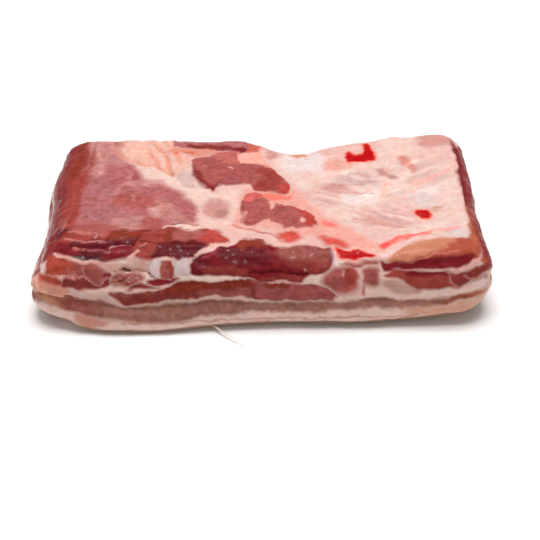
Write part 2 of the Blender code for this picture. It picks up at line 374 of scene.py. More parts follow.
# Each region is an outline in mm on one of two maps of the slab. "top" is (x, q), where q is y on the
# rib side; "front" is (x, w), where w is the height on the front wall. Both lean a little with the
# surface, so that they run on over the shoulder. A row gives what the region is, its map, tone, how
# softly its tone begins, how far it rises, and its corners.
REGIONS = (
    # the mauve sheet of lean on the left of the rib side, seen through its membrane
    ("lean", "top", "mauve lean", 4, 0.2, ((-140, -50), (-141, 20), (-136, 45), (-134, 82), (-112, 82),
        (-113, 62), (-106, 50), (-96, 40), (-91, 24), (-78, 20), (-66, 8), (-52, -8), (-46, -22), (-49, -34),
        (-58, -36), (-66, -40), (-74, -46), (-78, -60), (-86, -68), (-100, -66), (-120, -68), (-140, -66))),
    ("lean tint", "top", "misted lean", 4, 0.2, ((-134, 84), (-112, 84), (-113, 64), (-119, 46), (-123, 28),
        (-129, 30), (-131, 52))),
    ("lean tint", "top", "misted lean", 3, 0, ((-125, 70), (-119, 70), (-113, 56), (-107, 45), (-112, 42),
        (-120, 52))),
    ("lean tint", "top", "veiled lean", 6, 0, ((-128, 22), (-119, 24), (-112, 8), (-116, -4), (-126, 2))),
    ("lean tint", "top", "veiled lean", 7, 0, ((-130, -16), (-112, -14), (-98, -20), (-95, -30), (-114, -35),
        (-131, -28))),
    ("lean tint", "top", "mauve lean", 5, 0, ((-104, 14), (-84, 18), (-74, 8), (-84, -2), (-104, 0))),
    ("lean tint", "top", "plum lean", 4, -0.3, ((-106, 0), (-84, -2), (-79, -12), (-88, -18), (-106, -10))),
    ("lean tint", "top", "plum lean", 3, -0.2, ((-100, 38), (-92, 31), (-92, 22), (-98, 21), (-101, 28))),
    ("lean tint", "top", "pale lean", 3, 0.2, ((-100, 20), (-86, 21), (-76, 18), (-84, 15), (-100, 15))),
    ("lean tint", "top", "mauve lean", 4, 0, ((-80, 14), (-70, 10), (-58, -6), (-50, -20), (-56, -24),
        (-66, -12), (-76, 0))),
    ("lean tint", "top", "misted lean", 4, 0.3, ((-78, -6), (-70, -8), (-60, -24), (-54, -34), (-66, -33),
        (-76, -26))),
    ("fat tint", "top", "pink fat", 2, 0.4, ((-84, -13), (-78, -12), (-73, -20), (-74, -30), (-80, -31),
        (-84, -20))),
    ("fat", "top", "rose fat", 2.5, 0.3, ((-83, -15), (-78, -14), (-75, -20), (-76, -28), (-80, -28))),
    ("lean tint", "top", "misted lean", 4, 0.3, ((-104, -30), (-86, -28), (-80, -36), (-92, -42), (-106, -40))),
    ("lean tint", "top", "plum lean", 3, -0.4, ((-84, -31), (-76, -31), (-72, -40), (-80, -45), (-86, -40))),
    ("lean tint", "top", "plum lean", 4, 0.2, ((-134, -38), (-108, -38), (-98, -44), (-110, -49), (-134, -50))),
    # the dark strips along the left and the right rims
    ("lean", "top", "brick lean", 5, 0.3, ((-180, -82), (-180, 110), (-138, 84), (-135, 72), (-131, 50),
        (-134, 36), (-133, 16), (-135, -8), (-133, -20), (-136, -34), (-138, -50), (-142, -62), (-150, -78))),
    ("lean tint", "top", "rust lean", 4, -0.3, ((-150, 80), (-140, 80), (-139, 44), (-143, 20), (-150, 30))),
    ("lean tint", "top", "brick lean", 4, 0.2, ((-144, -10), (-134, -8), (-134, -40), (-142, -54))),
    ("lean", "top", "dark lean", 2, 0.3, ((143, 82), (150, 110), (180, 110), (180, -86), (152, -88),
        (141, -76), (139, -58), (142, -30), (144, 0), (142, 16), (142, 30), (144, 44), (144, 64))),
    ("lean tint", "top", "deep lean", 3, 0, ((146, 60), (152, 64), (153, 34), (145, 36))),
    ("lean tint", "top", "dark lean", 2, 0.2, ((142, 34), (147, 34), (147, 14), (142, 16))),
    ("lean tint", "top", "amber lean", 4, 0, ((143, -14), (160, -14), (160, -60), (150, -82), (138, -80),
        (139, -46))),
    # the clump of soft fat at the back, and the white sheet of membrane that runs down from it
    ("lobed fat", "top", "soft fat", 2, 1.5, ((-113, 88), (-74, 88), (-68, 72), (-60, 60), (-57, 46),
        (-61, 34), (-68, 26), (-76, 33), (-84, 41), (-92, 44), (-102, 49), (-111, 57), (-114, 68))),
    ("fat", "top", "cream fat", 3, -0.2, ((-101, 46), (-92, 44), (-84, 41), (-70, 28), (-62, 36), (-56, 44),
        (-54, 32), (-50, 22), (-44, 12), (-40, 6), (-30, 6), (-18, 4), (-19, -34), (-46, -34), (-50, -10),
        (-58, 4), (-68, 16), (-78, 23), (-89, 24), (-93, 34))),
    ("fat tint", "top", "veiled fat", 4, -0.2, ((-66, 30), (-57, 36), (-53, 26), (-46, 14), (-54, 12),
        (-62, 20))),
    ("fat tint", "top", "flushed fat", 4, 0, ((-76, 62), (-70, 68), (-40, 70), (-36, 62), (-52, 58), (-62, 60))),
    ("fat tint", "top", "rose fat", 6, -0.8, ((-42, -8), (-32, -4), (-27, -12), (-28, -26), (-36, -30),
        (-44, -22))),
    ("fat tint", "top", "mauve fat", 3, -0.3, ((-34, -16), (-30, -14), (-28, -22), (-32, -28), (-35, -24))),
    # the strip of dark lean on the back rim
    ("lean", "top", "mauve lean", 1.2, 0.8, ((-72, 76), (-69, 84), (-30, 85), (-18, 82), (-13, 74), (-15, 65),
        (-20, 62), (-32, 66), (-45, 70), (-58, 69.5), (-70, 71))),
    ("lean tint", "top", "cut lean", 2, -0.3, ((-58, 74), (-34, 75), (-22, 68), (-34, 68), (-58, 70))),
    ("lean tint", "top", "dark lean", 2, 0, ((-26, 69), (-17, 70), (-15, 65), (-20, 63))),
    ("fat tint", "top", "bloody fat", 3, 0, ((-16, 80), (-5, 78), (-7, 62), (-13, 60), (-16, 66))),
    ("fat tint", "top", "salmon fat", 2.5, 0.5, ((-20, 61), (-6, 62), (0, 50), (6, 38), (0, 38), (-8, 46),
        (-20, 46))),
    ("fat tint", "top", "rose fat", 3, 0, ((0, 66), (8, 64), (8, 54), (2, 52))),
    # the two red islands of muscle in the middle
    ("lean", "top", "plum lean", 1, 1.1, ((-55, 47), (-54, 54), (-48, 57), (-40, 60), (-34, 65), (-22, 64),
        (-20, 54), (-20, 46), (-10, 46), (-2, 43), (5, 38), (10, 31), (14, 25), (17, 19), (19, 14),
        (17, 5), (14, 1), (8, 3), (2, 6), (-4, 8), (-9, 12), (-10, 17), (-20, 17), (-31, 17), (-36, 12),
        (-40, 8), (-43, 13), (-49, 21), (-53, 32))),
    ("lean tint", "top", "rosy lean", 2, 0, ((-40, 62), (-21, 64), (-20, 45), (-32, 46))),
    ("lean tint", "top", "cut lean", 2, 0, ((-54, 36), (-50, 34), (-44, 18), (-36, 12), (-40, 6), (-48, 18))),
    ("lean tint", "top", "brick lean", 3, 0, ((-6, 38), (4, 38), (12, 26), (10, 8), (-2, 8), (-8, 14),
        (0, 24))),
    ("lean tint", "top", "red lean", 1.5, 0, ((12, 16), (19, 16), (18, 2), (12, 1))),
    ("lean", "top", "plum lean", 1, 1.1, ((-17, -19), (-16, -8), (-14, 2), (-8, 6), (-4, 4), (-2, -2),
        (2, -5), (5, -9), (12, -11), (20, -15), (28, -20), (33, -27), (35, -34), (36, -39), (28, -41),
        (22, -43), (14, -41), (9, -36), (4, -33), (-4, -35), (-10, -39), (-14, -36), (-14, -28),
        (-13, -22))),
    ("lean tint", "top", "coral lean", 2, 0, ((-16, -8), (-14, 3), (-6, 7), (-2, -2), (-6, -6), (-12, -10))),
    ("lean tint", "top", "red lean", 1.5, 0, ((22, -16), (34, -24), (37, -39), (30, -40), (26, -26))),
    ("fat", "top", "salmon fat", 0.9, 0, ((3, -5), (7, -8), (7, -16), (4.5, -19), (3.5, -12))),
    ("fat", "top", "salmon fat", 0.8, 0.2, ((25, -31), (29, -34), (28, -38), (24.5, -36))),
    # the pink fat round and below the islands
    ("fat tint", "top", "pink fat", 5, 0.3, ((-14, 10), (2, 8), (14, 0), (21, 10), (26, 0), (32, -12),
        (40, -26), (50, -36), (64, -50), (78, -62), (78, -68), (60, -66), (30, -50), (12, -44),
        (-4, -40), (-20, -38), (-18, -16))),
    ("fat tint", "top", "coral fat", 2.5, 0.3, ((-4, 2), (4, 3), (14, -1), (19, 0), (16, -6), (4, -6))),
    ("lean tint", "top", "fresh lean", 2, 0, ((8, -46), (26, -46), (26, -62), (8, -62))),
    ("lean", "top", "fresh lean", 2.5, 0.8, ((9, -47), (16, -46), (23, -48), (25, -54), (20, -60), (15, -61),
        (10, -55))),
    ("lean", "top", "fresh lean", 3, 0.4, ((36, -53), (46, -54), (54, -59), (56, -64), (50, -65),
        (42, -62))),
    ("fat tint", "top", "coral fat", 2.5, 0.2, ((40, -33), (46, -35), (50, -39), (46, -41), (40, -37))),
    # the rib side's white and mauve membrane, right of the islands
    ("fat tint", "top", "cream fat", 8, 0, ((34, 50), (60, 58), (100, 60), (138, 50), (139, 0), (138, -40),
        (110, -50), (84, -46), (60, -36), (44, -18), (28, 10), (24, 30))),
    ("fat tint", "top", "white fat", 7, 0.2, ((16, 58), (40, 60), (46, 46), (40, 36), (20, 32), (12, 42))),
    ("fat tint", "top", "cream fat", 4, 0, ((20, 34), (34, 34), (36, 26), (24, 22))),
    ("fat tint", "top", "rose fat", 4, -0.4, ((40, 8), (46, 16), (54, 17), (62, 11), (66, 6), (56, 4),
        (46, 2))),
    ("fat tint", "top", "blush fat", 6, -0.3, ((30, 4), (40, 10), (58, 2), (54, -8), (36, -9))),
    ("fat tint", "top", "veiled fat", 5, -0.4, ((52, 24), (62, 31), (70, 34), (78, 30), (81, 20), (72, 16),
        (58, 18))),
    ("fat tint", "top", "mauve fat", 3, -0.4, ((84, 38), (90, 36), (99, 28), (94, 25), (88, 31))),
    ("fat tint", "top", "blush fat", 5, -0.4, ((60, -26), (76, -16), (92, -12), (104, -16), (104, -32),
        (96, -39), (80, -44), (66, -38))),
    ("fat tint", "top", "rose fat", 3, -0.3, ((62, -30), (72, -28), (86, -34), (96, -39), (86, -38),
        (72, -35))),
    ("fat tint", "top", "white fat", 5, 0.4, ((58, 2), (80, 2), (84, -6), (66, -10), (54, -8))),
    ("fat tint", "top", "white fat", 5, 0.4, ((110, 10), (126, 14), (120, 2), (104, -2))),
    ("fat tint", "top", "cream fat", 7, 0, ((86, 66), (98, 86), (124, 84), (112, 60), (96, 48))),
    ("fat tint", "top", "rose fat", 5, 0, ((118, 76), (126, 96), (146, 94), (143, 76))),
    ("fat tint", "top", "misted fat", 6, -0.2, ((104, 4), (118, 4), (124, -10), (110, -12))),
    ("fat tint", "top", "misted fat", 5, 0, ((124, -40), (138, -40), (140, -54), (126, -52))),
    ("fat tint", "top", "pink fat", 4, 0.2, ((48, 53), (62, 50), (66, 44), (54, 36), (44, 40))),
    ("fat tint", "top", "flushed fat", 2.5, 0.2, ((102, 57), (108, 56), (113, 40), (110, 36), (104, 46))),
    ("fat tint", "top", "apricot fat", 3, 0, ((20, 62), (30, 62), (31, 55), (24, 55))),
    ("fat tint", "top", "tan fat", 2, 0, ((119, -19), (125, -14), (126, -16), (122, -21))),
    # the translucent orange fat at the right of the shoulder
    ("fat tint", "top", "amber fat", 2.5, 0.6, ((82, -79), (88, -69), (95, -62), (106, -58), (118, -56),
        (130, -54), (138, -57), (138, -74), (126, -78), (110, -84), (98, -82))),
    ("fat tint", "top", "amber fat", 3, 0, ((113, -72), (120, -62), (134, -59), (138, -66), (136, -78),
        (118, -80))),
    # the folded muscles on the front's left shoulder
    ("lean", "front", "deep lean", 2.5, 0, ((-149, 62), (-148, 72), (-143, 81), (-135, 80), (-126, 76),
        (-112, 73), (-104, 77), (-92, 80), (-78, 80), (-72, 74), (-78, 69), (-84, 68.5), (-84.5, 64),
        (-88, 59), (-97, 55.5), (-107, 54), (-116, 54), (-128, 56.5), (-140, 60.5))),
    ("lean tint", "front", "brick lean", 2.5, 0.4, ((-141, 71), (-134, 78), (-118, 78), (-108, 76), (-114, 73),
        (-126, 72), (-134, 69))),
    ("lean tint", "front", "dark lean", 2.5, 0.3, ((-148, 60), (-147, 70), (-138, 70), (-129, 67), (-124, 61),
        (-127, 57), (-138, 60))),
    # painted shade: the dark band in the crevice between the shoulder's folds
    ("lean tint", "front", "deep lean", 1.5, -0.9, ((-130, 70), (-118, 70.5), (-104, 71.5), (-92, 72),
        (-86, 69), (-88, 67), (-98, 68.5), (-108, 67), (-118, 65.5), (-128, 67))),
    ("lean tint", "front", "deep lean", 2, 0.4, ((-122, 65), (-110, 66), (-104, 62), (-106, 57), (-118, 57))),
    ("lean tint", "front", "dark lean", 2, 0.5, ((-104, 65), (-94, 66), (-86, 65), (-89, 60), (-97, 56.5),
        (-106, 57))),
    ("lean tint", "front", "dried lean", 1.5, 0.2, ((-130, 59), (-116, 58), (-108, 56), (-112, 54.5),
        (-126, 56))),
    ("lean tint", "front", "rust lean", 2.5, 0.5, ((-106, 78), (-96, 80), (-76, 79), (-76, 73), (-88, 73.5),
        (-102, 73))),
    ("lean", "front", "brick lean", 1.5, 0.9, ((-86, 57.5), (-89, 65), (-86, 71), (-80, 78), (-74, 83),
        (-64, 83), (-52, 81), (-42, 82), (-35, 80.5), (-29, 77), (-24.5, 72), (-25, 69.5), (-33, 68.5),
        (-40, 65), (-46, 59.5), (-52, 56), (-70, 56), (-80, 56.5))),
    ("lean tint", "front", "deep lean", 2, -0.2, ((-76, 58), (-77, 66), (-66, 70), (-44, 68.5), (-40, 65.5),
        (-46, 59), (-54, 56.5), (-72, 56.5))),
    ("lean tint", "front", "rust lean", 2, -0.2, ((-67, 70), (-68, 78), (-64, 81), (-62, 76), (-63, 70))),
    ("lean tint", "front", "brick lean", 2, 0.2, ((-83, 61), (-82, 68), (-74, 73), (-72, 68), (-76, 60))),
    ("lean tint", "front", "plum lean", 2, 0, ((-62, 72), (-60, 80), (-46, 81), (-42, 74), (-50, 70))),
    ("lean tint", "front", "red lean", 2, 0.4, ((-42, 72), (-40, 80), (-32, 78), (-25, 72), (-30, 69.5),
        (-38, 69.5))),
    # the front wall, from the left: a salmon block, dark lean, and pale lean with wavy streaks
    ("fat tint", "front", "dull fat", 2.5, 0, ((-113, 46), (-112, 54), (-98, 54.5), (-88, 58), (-76, 57),
        (-76, 46), (-88, 47.5), (-98, 46))),
    ("lean", "front", "mauve lean", 1.5, 0, ((-131, 54), (-132, 46), (-134, 38), (-126, 36), (-114, 34),
        (-105, 36), (-101, 41), (-101, 45), (-106, 47), (-110, 50), (-116, 52), (-124, 53.5))),
    ("lean tint", "front", "muted lean", 1.5, 0.2, ((-128, 52), (-117, 51), (-118, 45), (-126, 44))),
    ("lean tint", "front", "muted lean", 2, 0.2, ((-117, 50), (-109, 49), (-108, 40), (-112, 37.5),
        (-117, 41))),
    ("lean tint", "front", "dark lean", 1.2, 0, ((-107, 42), (-101, 46), (-98, 45.5), (-101, 41))),
    ("lean", "front", "warm lean", 1.2, 0.4, ((-147, 43), (-146.6, 47), (-145.5, 53), (-144, 58.4), (-142.6, 58.6), (-134, 56),
        (-128.4, 53), (-127.2, 50), (-128.4, 46), (-130, 43), (-134, 42), (-141, 42.6))),
    ("lean", "front", "cut lean", 1.2, -0.3, ((-136, 33), (-134, 40), (-130, 39.5), (-126, 39), (-122, 42.5),
        (-118, 40), (-115, 35), (-110, 35.5), (-105, 40), (-102, 39), (-102.5, 33.5), (-108, 31.5),
        (-120, 31), (-130, 31.5))),
    ("lean", "front", "warm lean", 1.5, 0, ((-151, 43), (-145, 43), (-139, 42.5), (-135, 38), (-135, 34),
        (-141, 34), (-146, 37), (-150, 40))),
    ("lean", "front", "muted lean", 3, 0.2, ((-103, 34), (-101, 42), (-96, 45.5), (-90, 46), (-84, 45),
        (-80, 42), (-82, 37), (-88, 34), (-96, 33))),
    ("lean tint", "front", "rust lean", 1.5, -0.4, ((-97, 39), (-93, 39), (-91.5, 36), (-95, 35),
        (-98, 36.5))),
    ("lean", "front", "cut lean", 2.5, 0, ((-92, 30), (-88, 35), (-82, 37), (-76, 34), (-68, 32.5),
        (-76, 30.5), (-86, 29))),
    ("lean", "front", "dark lean", 1.2, 0, ((-79, 36.5), (-77, 39.6), (-66, 40), (-56, 39.6), (-58, 37),
        (-64, 34.5), (-72, 34))),
    # two ends of rib cartilage with a block of red marrow between them
    ("fat tint", "front", "cartilage", 1.2, 0.5, ((-76, 42), (-77, 52), (-73, 55), (-69, 54.5), (-69, 41),
        (-73, 40.5))),
    ("fat tint", "front", "cartilage", 1.2, 0.5, ((-61, 41), (-60, 54), (-58, 56.5), (-50.5, 56.5),
        (-50.5, 46), (-51.5, 41))),
    ("lean", "front", "muted lean", 0.8, 0.1, ((-69.6, 40.4), (-69.6, 41.4), (-69.4, 47), (-69.2, 53),
        (-68.6, 53.6), (-65, 53.8), (-61.4, 54), (-60.6, 53.4), (-60.6, 47), (-60.8, 41.4), (-60.8, 40.4),
        (-65, 40))),
    ("lean tint", "front", "brick lean", 0.8, 0, ((-64, 41), (-63.5, 53), (-61, 53), (-61, 41))),
    # the long red lens, and the paler lean that it runs into
    ("lean", "front", "cut lean", 1, -0.2, ((-105, 27.6), (-96, 28), (-86, 27.6), (-76, 29), (-68, 31),
        (-62, 33.5), (-56, 37), (-46, 38.6), (-34, 37.4), (-27, 38.4), (-18, 40.2), (-10, 39), (-2, 39),
        (4, 36.6), (10, 36), (17, 36.6), (25, 36), (32, 36.2), (38, 33.5), (43, 31), (49.5, 27),
        (46, 24), (43, 21), (25, 21), (5, 21), (-2, 22.6), (-8, 24.4), (-16, 26.2), (-22, 24.6),
        (-28, 24.2), (-34, 26), (-42, 25), (-48, 22.4), (-55, 21.2), (-62, 21), (-72, 20), (-82, 18.4),
        (-91, 17.5), (-96, 20.5), (-101, 24))),
    ("lean tint", "front", "muted lean", 1.5, 0, ((-103, 28), (-92, 28), (-76, 29.5), (-74, 26), (-90, 24.5),
        (-100, 25))),
    ("lean tint", "front", "rust lean", 2, 0, ((-60, 34), (-50, 38), (-30, 38), (-10, 39.5), (-10, 33),
        (-30, 31.5), (-50, 30), (-64, 25), (-66, 30))),
    ("lean tint", "front", "cut lean", 2, 0, ((-90, 19), (-88, 25), (-70, 26), (-56, 24), (-58, 22),
        (-74, 20))),
    ("lean tint", "front", "muted lean", 2, 0, ((-44, 30), (-28, 30), (-11, 31), (-10, 27), (-28, 25),
        (-44, 26))),
    ("lean tint", "front", "plum lean", 2, 0, ((-4, 37), (26, 36), (48, 28), (44, 22), (0, 23))),
    ("lean tint", "front", "rust lean", 1.5, 0, ((0, 35), (16, 35.5), (14, 32), (2, 31))),
    # the big dark muscle over the lens
    ("lean", "front", "dark lean", 1.2, 0.7, ((-50.5, 45), (-49, 55), (-44, 60), (-36, 63.2), (-28, 65.5),
        (-22, 68), (-18, 71.5), (-10, 72.5), (-2, 71.5), (4, 69), (10, 65.5), (16, 65.2), (22, 66.5),
        (30, 66.5), (38, 67), (43.4, 66.4), (45, 64), (45.6, 56), (45, 50), (43.6, 47), (40, 44.4), (30, 43.5), (26, 41), (24, 37.5),
        (12, 37.5), (0, 38), (-10, 40), (-16, 42), (-30, 42.6), (-46, 42.6))),
    ("lean tint", "front", "deep lean", 4, 0, ((-32, 60), (-20, 66), (-4, 64), (2, 56), (-2, 50),
        (-20, 52))),
    ("lean tint", "front", "rust lean", 2.5, 0.2, ((-18, 66), (-14, 71.5), (-2, 71), (2, 67), (-8, 66))),
    ("lean tint", "front", "deep lean", 3, 0, ((-50, 44), (-49, 54), (-40, 57), (-34, 50), (-36, 44))),
    ("lean tint", "front", "cut lean", 2.5, 0, ((-40, 44), (-34, 50), (-14, 49), (-14, 43.5))),
    ("lean tint", "front", "muted lean", 3.5, 0.2, ((10, 66), (30, 67), (44, 64), (42, 56), (26, 54),
        (12, 56))),
    ("lean tint", "front", "muted lean", 2.5, 0, ((18, 63), (34, 62), (33, 57), (18, 57))),
    ("lean tint", "front", "cut lean", 2.5, 0, ((14, 53), (26, 54), (44, 53), (43, 47), (30, 46), (18, 49))),
    ("lean tint", "front", "dark lean", 2.5, -0.2, ((-6, 48), (10, 49), (24, 46), (24, 42), (6, 42),
        (-8, 43))),
    ("lean tint", "front", "cut lean", 2, 0, ((-2, 41.5), (24, 42), (25, 38.5), (2, 38.5))),
    # right of the big muscle: a fan and a block of muted lean, then the two long dark lobes
    ("lean", "front", "plum lean", 3.5, 0.2, ((37.5, 34), (38, 39), (42, 45), (48, 50), (56, 51.5),
        (61.5, 49.5), (62.5, 42), (62, 35), (62, 30), (56, 27), (49, 28.5), (43, 31))),
    ("lean tint", "front", "brick lean", 2.5, 0, ((51, 44), (56, 49), (61, 46), (61, 32), (53, 33))),
    ("lean tint", "front", "rosy lean", 2.5, 0, ((50, 32), (61, 32), (60, 27), (52, 27))),
    ("lean", "front", "muted lean", 3, 0.1, ((64.5, 34), (64, 42), (63.5, 48), (70, 48.4), (76.5, 48),
        (77, 41), (77, 34), (70, 32.6))),
    ("fat tint", "front", "stained fat", 2, 0.6, ((50, 53.5), (62, 54.5), (76, 55), (77, 50.5), (70, 49.6),
        (60, 50.6))),
    ("lean", "front", "dark lean", 1.5, 0.2, ((78.5, 47), (78.5, 55), (90, 55), (98, 54.5), (103, 56.5),
        (112, 57.5), (122, 58), (133, 59), (140, 60), (141.5, 57), (137, 52.5), (131, 48.5),
        (122, 47.4), (112, 48), (104, 48), (94, 47))),
    ("lean tint", "front", "dark lean", 1.5, -0.2, ((98, 54), (104, 57), (114, 56), (112, 51), (100, 50))),
    ("fat tint", "front", "rusty fat", 3, 0.6, ((101, 54.7), (108, 58), (117, 62.5), (126, 67.5), (134, 73),
        (144, 72), (147, 60), (141, 56), (120, 56))),
    ("fat tint", "front", "rusty fat", 3, 0, ((117, 62), (126, 67), (134, 72), (140, 68), (132, 61))),
    ("lean", "front", "brick lean", 1.5, 0.3, ((79, 43), (84, 47.5), (92, 47.8), (98, 47.4), (104, 46.6),
        (112, 46), (122, 46), (128, 45), (134, 47), (140, 49.6), (149, 54), (160, 58), (160, 50),
        (148, 45.5), (143, 42), (137, 38.5), (132, 34.6), (122, 32), (110, 31), (102, 31.5),
        (96, 34), (90, 38.5), (84, 41))),
    ("lean tint", "front", "dark lean", 2, -0.3, ((94, 45), (104, 47.5), (124, 47), (124, 43.5), (108, 42),
        (96, 42.5))),
    ("lean tint", "front", "cut lean", 1, 0.2, ((124.5, 42), (134, 43), (136, 38), (130, 34.6),
        (125.5, 36.5))),
    ("lean tint", "front", "cut lean", 1.5, 0, ((130, 45), (144, 51), (150, 52), (148, 46), (138, 43))),
    ("fat tint", "front", "dull fat", 2.5, 0, ((80, 39), (88, 38), (96, 33), (104, 30.5), (102, 28.4),
        (90, 28.6), (82, 32))),
    ("fat tint", "front", "stained fat", 2.5, 0, ((126, 33), (138, 37.6), (149, 44), (150, 36), (138, 31.5),
        (128, 29.5))),
    # a painted highlight: the pale band on the fold above the brown layer
    ("fat tint", "front", "cream fat", 2.5, 0.3, ((8, 22.5), (46, 22.5), (60, 23.4), (75, 28), (92, 26.5),
        (110, 27.5), (126, 31), (148, 40), (150, 34), (130, 28), (110, 24), (90, 23), (75, 25.5), (60, 21),
        (20, 20.5))),
    ("fat tint", "front", "veiled fat", 2, 0.3, ((-130, 30.5), (-114, 30), (-104, 27), (-96, 20), (-92, 17.5),
        (-100, 18.5), (-110, 23.5), (-128, 26))),
    # the rolled fat at the left corner, and the thin fat between the brown layer and the rind
    ("fat tint", "front", "rind fat", 2, 1.2, ((-160, 28), (-156, 45), (-150, 44), (-146, 37), (-138, 33.5),
        (-131, 31.5), (-131, 27.5), (-137, 25), (-146, 26), (-152, 28))),
    ("fat tint", "front", "rind fat", 3, 0, ((-128, 9), (-116, 7.5), (-104, 4), (-112, 0), (-126, 1))),
    ("fat tint", "front", "tan fat", 2.5, 0, ((96, 14.5), (118, 16), (134, 20), (150, 26), (148, 18),
        (134, 13), (116, 11), (98, 10.5))),
)

# The brown layer over the rind's fat: places along x, and the heights of its foot and its top there.
BROWN_PLACES = (-160, -150, -140, -130, -120, -110, -100, -90, -80, -60, -50, -40, -30, -20, -10, 0,
                20, 40, 60, 68, 75, 82, 90, 100, 110, 120, 130, 140, 150, 160)
BROWN_FOOT = (24, 20, 16, 12, 9, 7.6, 5, 3, 2.6, 4.5, 6.5, 9, 8.8, 10.5, 12.5, 12.8,
              12.6, 12.8, 13.8, 14.6, 15, 15.2, 15.5, 16, 16.6, 18, 20.8, 24.5, 28, 30)
BROWN_TOP = (31, 27, 24.2, 25, 24, 22.2, 17.6, 16.8, 18, 19.5, 20.2, 23, 22.4, 22.8, 21.8, 20.6,
             20.4, 20.6, 21, 23, 24.9, 24.4, 22.5, 22.2, 23, 24.3, 26.8, 29.3, 31, 33)
BROWN_TINTS = ((-160, -148, -132, -100, 60, 110, 135, 150),
               ("stained fat", "apricot fat", "muted lean", "brown lean", "brown lean", "dun lean",
                "amber lean", "amber fat"))

# The layers of the three other walls, from the right round the back to the left: each one's colour,
# how far it rises, and the heights of its foot and its top at each quarter of a wall.
SIDE_PLACES = (1, 1.25, 1.5, 1.75, 2, 2.25, 2.5, 2.75, 3, 3.25, 3.5, 3.75, 4)
SIDE_LAYERS = (
    ("8a5648", 0.0, (17, 14, 13, 12, 12, 10, 11, 10, 9, 11, 12, 13, 17),
     (21, 21, 22, 20, 19, 20, 21, 19, 19, 20, 21, 22, 23)),
    ("8a3234", -0.3, (30, 29, 26, 27, 29, 26, 24, 27, 29, 27, 27, 29, 33),
     (37, 35, 33, 35, 33, 35, 34, 33, 34, 36, 37, 38, 39)),
    ("84302f", 0.2, (39, 38, 37, 39, 38, 38, 37, 38, 38, 39, 40, 40, 41),
     (70, 70, 70, 70, 48, 47, 70, 47, 48, 70, 70, 70, 70)),
)

